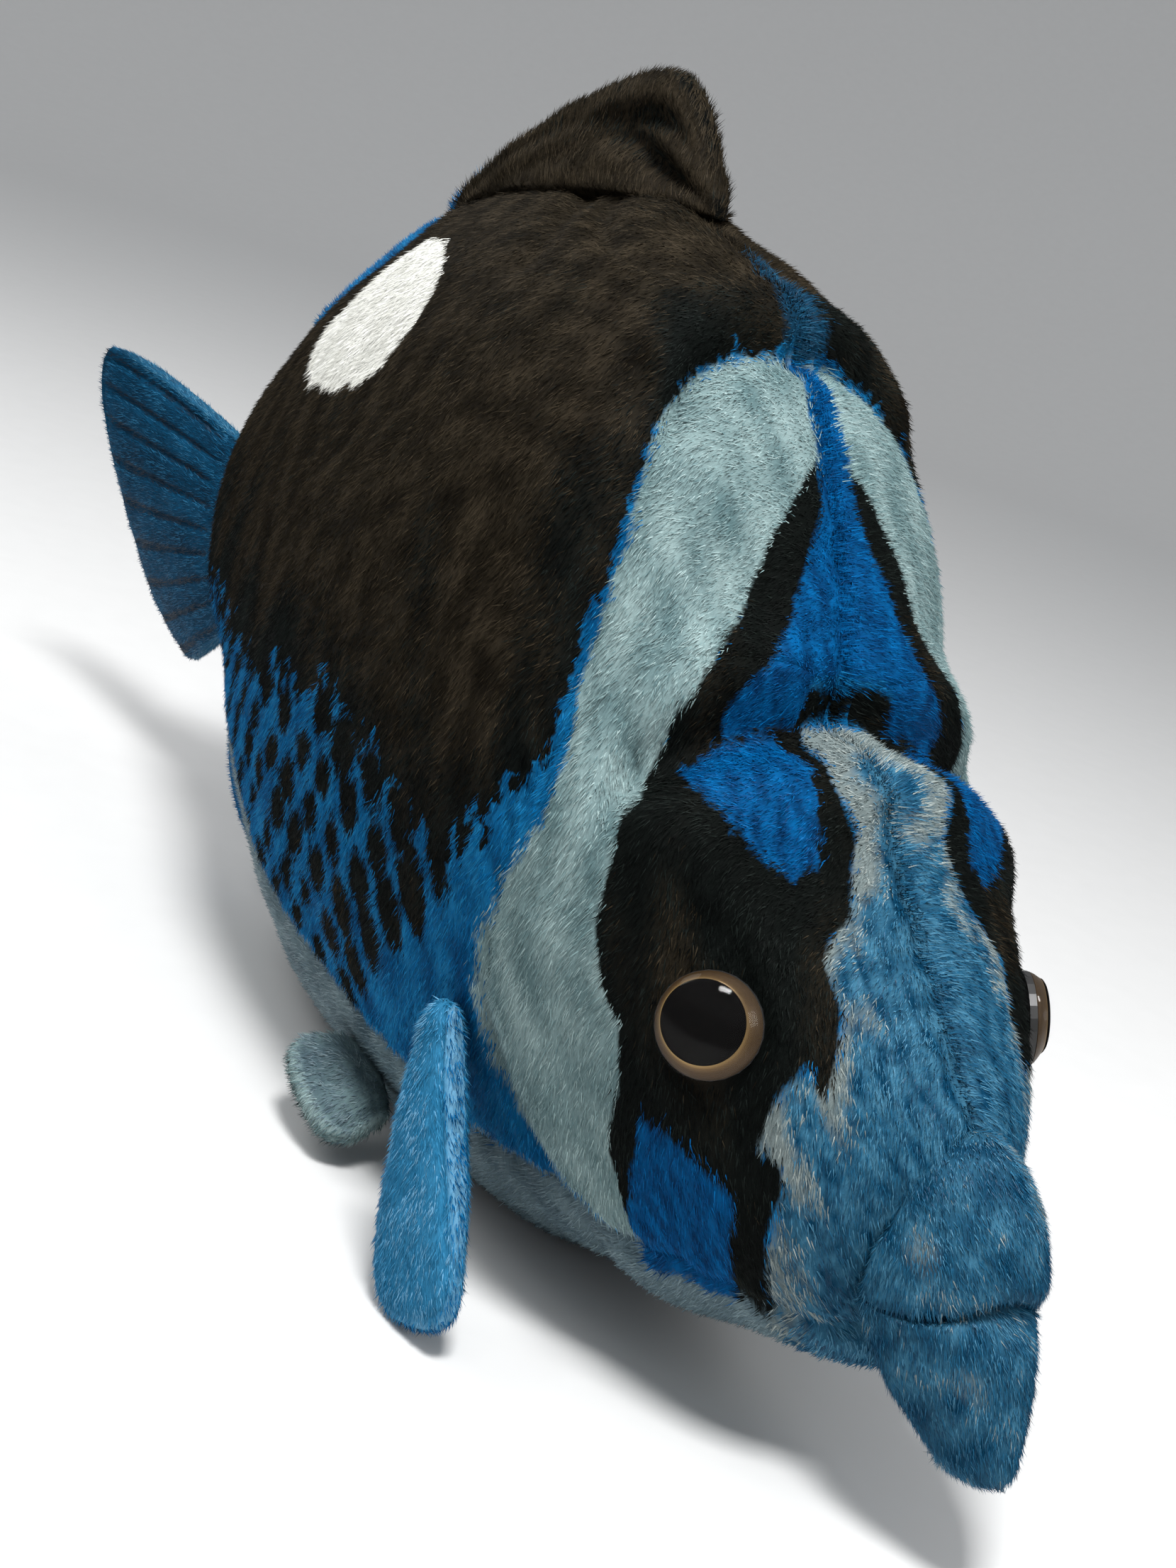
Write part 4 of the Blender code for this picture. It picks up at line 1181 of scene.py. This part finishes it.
def fin_core(name, fin, shape, root_share):
    """The batting inside a fin, a thinner form of the same outline."""
    faces = []
    for way in (1, -1):
        obj, a, b = fresh_sheet(f"{name}_{way}", 28, 28)
        s, r = 0.10 + 0.80 * a, 0.07 + 0.77 * b
        inner = np.sqrt(np.clip(np.minimum(np.minimum(a, 1 - a), np.minimum(b, 1 - b)) * 8, 0, 1))
        height = np.maximum(fin_height(fin, s, r, way, shape, 1.0) - 0.0019, 0.0002) * inner
        move_to(obj, fin.place(s, r, way * height))
        faces.append(obj)
    alone()
    for obj in faces:
        obj.select_set(True)
    bpy.context.view_layer.objects.active = faces[0]
    bpy.ops.object.join()
    core = faces[0]
    core.name = core.data.name = name + "_form"
    in_edit(core, ("remove_doubles", {"threshold": 0.00001}), ("normals_make_consistent", {"inside": False}))
    smooth(core)
    dress(core, FILLING)
    bend_at_root(core, fin, root_share)
    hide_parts(name)


def tail_fin():
    root = ((-0.0235, 0.0), (-0.0115, 0.0), (0.0, 0.0), (0.0115, 0.0), (0.0235, 0.0))
    tip = ((-0.0450, 0.0500), (-0.0260, 0.0620), (0.0, 0.0660), (0.0260, 0.0640), (0.0460, 0.0560))
    droop = math.radians(9)
    fin = Fin(root, tip, (0.0, 0.1516, 0.0750), (0, ROOT_SLANT, 1), (0, math.cos(droop), -math.sin(droop)),
              0.0048, 0.7, math.radians(20))
    form = fin_form("tail_fin_pad", fin, tail_rays, 0.12, 84)
    finish = dyed_finish("tail_pile_ground", DYES["teal"][0], DYES["tail"][1], DYES["tail"][2], "accent")
    # the dark fibres down the stitched ray grooves are painted shade
    dye_of = fin_dye("tail", "mottle", 1.8, tail_rays, "navy")
    finish_fin(form, fin, finish, dye_of, ("tail_fin_left_face", "tail_fin_right_face"),
               31, 0.16, density=2.4)
    fin_core("tail_fin_batting", fin, tail_rays, 0.16)


def first_dorsal_fin():
    root = [(y, station(np.array(y))[0] + 0.0018) for y in np.linspace(0.015, 0.099, 5)]
    tip = ((0.0165, 0.1900), (0.0320, 0.2055), (0.0460, 0.2080), (0.0730, 0.1940), (0.1040, 0.1690))
    fin = Fin(root, tip, (0, 0, 0), (0, 1, 0), (0, 0, 1), 0.0062, 0.8)
    form = fin_form("first_dorsal_fin_pad", fin, spike_creases, 0.25, 84, 0.9)
    finish = dyed_finish("spike_pile_ground", DYES["brown"][0], DYES["brown"][2], DYES["black"][0], "accent")

    def dye_of(layer, draw, count):
        flat = layer("lay")[:, :2]
        patchy = ripple(flat, 14, 8)
        # painted shade: fibres in the spike's crease folds are dyed black
        creased = spike_creases(layer("s"), layer("r"), layer("way"))
        black = creased * -0.4 + patchy * 0.25 + draw.normal(0, 0.2, count) > 0.45
        dye = np.where(black, tinted("black", patchy, draw, count), tinted("brown", patchy, draw, count))
        trailing = (layer("s") > 0.90) & (layer("rim") < 3.4 + draw.normal(0, 0.5, count)) & (layer("r") > 0.0)
        return np.where(trailing, tinted("blue", patchy, draw, count), dye)

    finish_fin(form, fin, finish, dye_of,
               ("first_dorsal_fin_left_face", "first_dorsal_fin_right_face"), 32, 0.35, length=0.0026)
    fin_core("first_dorsal_fin_batting", fin, spike_creases, 0.35)


def pectoral_fin(word, side):
    root = ((-0.0042, 0.0), (-0.0020, 0.0), (0.0, 0.0), (0.0022, 0.0), (0.0046, 0.0))
    tip = ((-0.0085, 0.0370), (-0.0060, 0.0480), (0.0020, 0.0500), (0.0110, 0.0470), (0.0150, 0.0360))
    fin = Fin(root, tip, (side * 0.0530, -0.0440, 0.0475), (side * 0.05, 0.88, -0.47), (side * 0.05, -0.47, -0.88),
              0.0034, 0.6)
    name = word + "_pectoral_fin"
    form = fin_form(name + "_pad", fin, paddle_puff, 0.10, 56)
    finish = dyed_finish(name + "_ground", DYES["sky"][0], DYES["sky"][1], DYES["sky"][2], "accent")
    finish_fin(form, fin, finish, fin_dye("sky", "blue", 1.2), (name + "_outer_face", name + "_inner_face"),
               33 + side, 0.14, density=3.2, length=0.0019)
    fin_core(name + "_batting", fin, paddle_puff, 0.14)


LOW_FIN_SHAPE = (0.30, 0.85, 1.0, 0.90, 0.35)


def low_fin(name, low, high, reach, side_lean, lower, seed):
    """A low soft fin along the back or under the tail root."""
    way = -1.0 if lower else 1.0
    tilt = math.radians(side_lean)
    along = np.linspace(low, high, 5)
    seats = skin_point(along, np.full(5, 1.0 if lower else 0.0), 0.0)[:, 1:]
    root = seats + (0.0, way * 0.0032)
    chord = root[-1] - root[0]
    chord = chord / np.linalg.norm(chord)
    up = np.array((-chord[1], chord[0]))
    flat_root = np.column_stack(((root - root[0]) @ chord, np.abs((root - root[0]) @ up)))
    flat_tip = flat_root + np.column_stack((np.full(5, 0.004), reach * np.array(LOW_FIN_SHAPE)))
    span = way * (np.array((0, *up)) * math.cos(tilt) + np.array((1.0, 0, 0)) * math.sin(tilt))
    fin = Fin(flat_root, flat_tip, (0.0, *root[0]), (0.0, *chord), span, 0.0020, 0.6)
    form = fin_form(name + "_pad", fin, flat_shape, 0.45, 36, 0.25)
    finish = dyed_finish(name + "_ground", DYES["blue"][0], DYES["blue"][2], DYES["mottle"][2], "accent")
    finish_fin(form, fin, finish, fin_dye("blue", "mottle", 1.2), (name,), seed, 0.5,
               length=0.0018)


def pelvic_lobe(word, side):
    chord = (side * -0.05, 0.94, 0.30)
    span = (side * 0.97, 0.05, -0.22)
    root = ((-0.0110, 0.0), (-0.0055, 0.0), (0.0, 0.0), (0.0055, 0.0), (0.0110, 0.0))
    tip = ((-0.0135, 0.0070), (-0.0095, 0.0118), (0.0, 0.0132), (0.0095, 0.0118), (0.0135, 0.0070))
    fin = Fin(root, tip, (side * 0.0345, -0.0040, 0.0125), chord, span, 0.0036, 0.7)
    name = word + "_pelvic_lobe"
    form = fin_form(name + "_pad", fin, lobe_dimple, 0.35, 48)
    finish = dyed_finish(name + "_ground", DYES["belly"][0], DYES["pale"][1], DYES["pale"][2], "accent")
    finish_fin(form, fin, finish, fin_dye("belly", "pale", 1.4), (name,), 51 + side, 0.35,
               length=0.0022)


# ---------------------------------------------------------------- lips
def rows_at(rows, share):
    rows = np.array(rows, float)
    k = np.clip((share * (len(rows) - 1)).astype(int), 0, len(rows) - 2)
    t = (share * (len(rows) - 1) - k)[:, None]
    return hermite(rows, np.gradient(rows, axis=0), k, t, 1.0).T


MOUTH_Z = 0.0440
# Muzzle, one row per height: height, how far it reaches forward of the face, half width, where its back lies
MUZZLE = (
    (0.0180, 0.0268, 0.0028, -0.1380), (0.0200, 0.0280, 0.0050, -0.1355), (0.0240, 0.0279, 0.0082, -0.1305),
    (0.0290, 0.0265, 0.0115, -0.1250), (0.0345, 0.0245, 0.0140, -0.1205), (0.0400, 0.0223, 0.0154, -0.1170),
    (0.0440, 0.0208, 0.0158, -0.1165), (0.0490, 0.0194, 0.0154, -0.1160), (0.0540, 0.0176, 0.0140, -0.1160),
    (0.0590, 0.0150, 0.0120, -0.1150), (0.0630, 0.0114, 0.0098, -0.1140), (0.0665, 0.0070, 0.0072, -0.1130),
    (0.0690, 0.0026, 0.0040, -0.1120),
)


def muzzle_point(turn, z):
    """The soft muzzle at a height: turn runs round it, and the mouth pinches only its front."""
    rows = np.array(MUZZLE)
    k = np.clip(np.searchsorted(rows[:, 0], z, side="right") - 1, 0, len(rows) - 2)
    t = ((z - rows[k, 0]) / (rows[k + 1, 0] - rows[k, 0]))[:, None]
    width = (rows[k + 1, 0] - rows[k, 0])[:, None]
    reach, half, back = hermite(rows[:, 1:], np.gradient(rows[:, 1:], rows[:, 0], axis=0), k, t, width).T
    front = np.clip(-np.sin(turn), 0, 1)
    crease = MOUTH_Z + 0.0075 * (front**1.5 - 0.55)
    pinch = 1 - 0.17 * bell((z - crease) / MM, 3.2) * front**3
    ahead = (NOSE_Y - reach * pinch) - back
    x = half * np.sign(np.cos(turn)) * np.abs(np.cos(turn)) ** 1.18
    y = back + np.where(np.sin(turn) < 0, ahead * np.abs(np.sin(turn)) ** 1.02, 0.0035 * np.sin(turn))
    return np.column_stack((x, y, z))


def lip_point(turn, share, low, high, soft_low, soft_high):
    """One lip: the muzzle between two heights, drawn in to a close at both ends."""
    z = low + (high - low) * share
    front = np.clip(-np.sin(turn), 0, 1)
    z = z + 0.0075 * (front**1.5 - 0.55) * bell((z - MOUTH_Z) / MM, 13)
    points = muzzle_point(turn, z)
    soft_low, soft_high = (soft * (0.25 + 0.75 * front) if soft < 0.15 else soft for soft in (soft_low, soft_high))
    closing = (1 - (1 - np.clip(share / soft_low, 0, 1)) ** 2) * (1 - (1 - np.clip((1 - share) / soft_high, 0, 1)) ** 2)
    middle = muzzle_point(np.full(len(z), -math.pi / 2), z)
    middle = np.column_stack((np.zeros(len(z)), (middle[:, 1] + NOSE_Y) / 2, z))
    return middle + (points - middle) * np.sqrt(np.clip(closing, 0, 1))[:, None]


def upper_lip_point(turn, share):
    return lip_point(turn, share, MOUTH_Z - 0.0004, 0.0690, 0.09, 0.25)


def lower_lip_point(turn, share):
    return lip_point(turn, share, 0.0180, MOUTH_Z + 0.0004, 0.22, 0.07)


def chin_point(turn, share):
    """The rounded front of the face that the lips are sewn over."""
    y = NOSE_Y + 0.0060 - 0.0125 * share
    top, bottom, half, level = station(np.full(len(y), NOSE_Y + 0.001))
    closing = np.sqrt(np.clip(1 - np.abs(2 * share - 1) ** 4, 0, 1))
    x = (half - 0.0048) * np.cos(turn) * closing
    z = (top + bottom) / 2 + (top - bottom - 0.0090) / 2 * np.sin(turn) * closing
    return np.column_stack((x, y, z))


def lip(name, shape, seed, puff, per_mm2):
    """A soft mottled piece of the muzzle with its pile."""
    obj, turn, share = fresh_ball(name + "_roll", 88, 64)
    points = shape(turn, share)
    centre = points.mean(axis=0)
    out = unit(points - centre)
    lumps = np.array([noise.noise(Vector(p) * 70) * 0.7 + noise.noise(Vector(p) * 170) * 0.25 for p in points])
    points = points + out * (lumps[:, None] * puff * MM)
    move_to(obj, points)
    in_edit(obj, ("normals_make_consistent", {"inside": False}))
    smooth(obj)
    keep(obj, "nap", unit(np.column_stack((points[:, 0] * -6.0, np.full(len(points), -0.75), np.full(len(points), -0.8)))))
    flat = np.column_stack((turn * 14.0, share * 26.0))
    keep(obj, "lay", np.column_stack((flat, np.full(len(flat), float(seed)))))
    apart = Vector((seed, 0, 0))
    keep(obj, "patchy", np.array([3.2 * noise.noise(Vector(p) * 95 + apart) for p in points]))
    keep(obj, "fleck", np.array([2.6 * noise.noise(Vector(p) * 210 + apart) for p in points]))
    f = Finish(name + "_ground")
    lay = f.layer("lay", "Vector")
    mottle = f.blend((f.layer("fleck") * 0.45 + 0.5).held(), DYES["mottle"][0], DYES["mottle"][2])
    mottle = f.blend((f.layer("patchy") * 0.5 - 0.35).held(), mottle, DYES["cream"][1])
    dress(obj, pile_ground(f, mottle, lay))

    def dye_of(layer, draw, count):
        cream = layer("patchy") * 0.5 + layer("fleck") * 0.6 + draw.normal(0, 0.6, count) > 1.25
        blue = tinted("mottle", layer("fleck") * 0.5 + layer("patchy") * 0.8, draw, count)
        return np.where(cream, tinted("cream", layer("fleck"), draw, count), blue)

    pile = grow_pile(obj, name + "_pile", seed, per_mm2, 0.0020, dye_of, lift=0.42, width=0.00021)
    for piece in (obj, pile):
        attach(piece, "fish_body")
    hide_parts(name)


# ---------------------------------------------------------------- eyes
def turned(name, profile, place, slip=0.0, around=72, along=60):
    """A closed round piece from (radius, height) pairs, turned about its own Z axis; its middle may slip backwards."""
    obj, turn, share = fresh_ball(name, around, along)
    profile = np.array(profile, float)
    steps = np.concatenate(((0.0,), np.cumsum(np.linalg.norm(np.diff(profile, axis=0), axis=1))))
    radius = np.interp(share, steps / steps[-1], profile[:, 0])
    height = np.interp(share, steps / steps[-1], profile[:, 1])
    local = np.column_stack((radius * np.cos(turn), radius * np.sin(turn), height))
    keep(obj, "ring", radius / EYE_RADIUS)
    matrix = np.array(place)
    backwards = unit(np.array((0.0, 1.0, 0.25)) @ matrix[:3, :3])
    # painted light: how far each point faces the lower back, for the iris's painted light and shade
    lower = unit(np.array((0.0, 0.55, -0.85)) @ matrix[:3, :3])
    keep(obj, "glow", np.clip(0.5 + 0.55 * (np.cos(turn) * lower[0] + np.sin(turn) * lower[1]), 0, 1))
    inner = np.clip((EYE_RADIUS - 0.0005 - radius) / (EYE_RADIUS - 0.0005 - PUPIL_RADIUS), 0, 1)[:, None]
    local[:, :2] += backwards[:2] * inner * slip
    move_to(obj, local @ matrix[:3, :3].T + matrix[:3, 3])
    in_edit(obj, ("normals_make_consistent", {"inside": False}))
    alone()
    obj.select_set(True)
    bpy.context.view_layer.objects.active = obj
    bpy.ops.object.shade_smooth_by_angle(angle=math.radians(35))
    return obj


IRIS = iris_finish()
PUPIL = pupil_finish()
DOME = dome_finish()


def eye(word, side):
    place = eye_place(side)
    rim = EYE_RADIUS
    arc = np.linspace(0, math.pi / 2, 30)
    skirt = 0.0006
    curve = [(rim * math.cos(a), 0.0016 + (EYE_HEIGHT - 0.0016) * math.sin(a)) for a in arc]
    dome = turned(word + "_eye_lens", [(0.0, 0.0005), (rim - 0.0010, 0.0005), (rim - 0.0002, 0.0008), *curve], place)
    dish = [(0.0, skirt), (rim - 0.0010, skirt), (rim - 0.0005, skirt + 0.0009), (rim - 0.0010, 0.0023)]
    iris = turned(word + "_eye_iris_dish", [*dish, (PUPIL_RADIUS, 0.0037), (0.0, 0.0037)], place, 0.0009)
    edge_of_pupil = [(PUPIL_RADIUS - 0.0001, 0.0037), (PUPIL_RADIUS, 0.0039), (PUPIL_RADIUS - 0.0004, 0.0042)]
    pupil_rows = [(0.0, 0.0037), *edge_of_pupil, (0.0030, 0.0048), (0.0, 0.0050)]
    pupil = turned(word + "_eye_pupil_disc", pupil_rows, place, 0.0009)
    for piece, finish, part in ((dome, DOME, "dome"), (iris, IRIS, "iris"), (pupil, PUPIL, "pupil")):
        dress(piece, finish)
        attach(piece, "fish_body")
        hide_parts(f"{word}_eye_{part}")


# ---------------------------------------------------------------- assembly
def at(value):
    return lambda v: np.full(len(v), value)


add_camera()
add_floor()
add_lights()

for word, side in (("right", RIGHT), ("left", LEFT)):
    flank_parts = (("_front", -999, 4), ("_middle", 4, 52), ("_rear", 52, 999))
    side_skin(word, side, "flank", gill_y, at(TAIL_Y), 120, 150, flank_parts, 60 + side)
    side_skin(word, side, "head", at(NOSE_Y), gill_y, 120, 66, (("", -999, 999),), 64 + side)
    pectoral_fin(word, side)
    pelvic_lobe(word, side)
    eye(word, side)
belly_skin()
filling_form("body_stuffing", lambda v: gill_y(np.minimum(v, BELLY_V)) + 0.0008, at(TAIL_Y - 0.016), False)
filling_form("head_stuffing", at(NOSE_Y + 0.006), lambda v: gill_y(np.minimum(v, BELLY_V)) - 0.0008, True)
tail_fin()
first_dorsal_fin()
low_fin("second_dorsal_fin", 0.103, 0.134, 0.011, 50, False, 35)
low_fin("anal_fin", 0.092, 0.132, 0.012, 0, True, 36)
lip("upper_lip", upper_lip_point, 71, 1.0, 4.8)
lip("lower_lip", lower_lip_point, 73, 0.8, 4.8)
lip("muzzle_lining", chin_point, 75, 0.6, 1.5)

pouch = pouch_finish()
black_plastic = moulded_finish("eye_back_plastic", (0.010, 0.010, 0.010), (0.022, 0.022, 0.022), 0.35)
white_plastic = moulded_finish("washer_plastic", (0.66, 0.66, 0.64), (0.78, 0.78, 0.76), 0.42)
dress(nodes["pellet_pouch"], pouch)
for word in ("right", "left"):
    dress(nodes[word + "_eye_shank"], black_plastic)
    dress(nodes[word + "_eye_washer"], white_plastic)
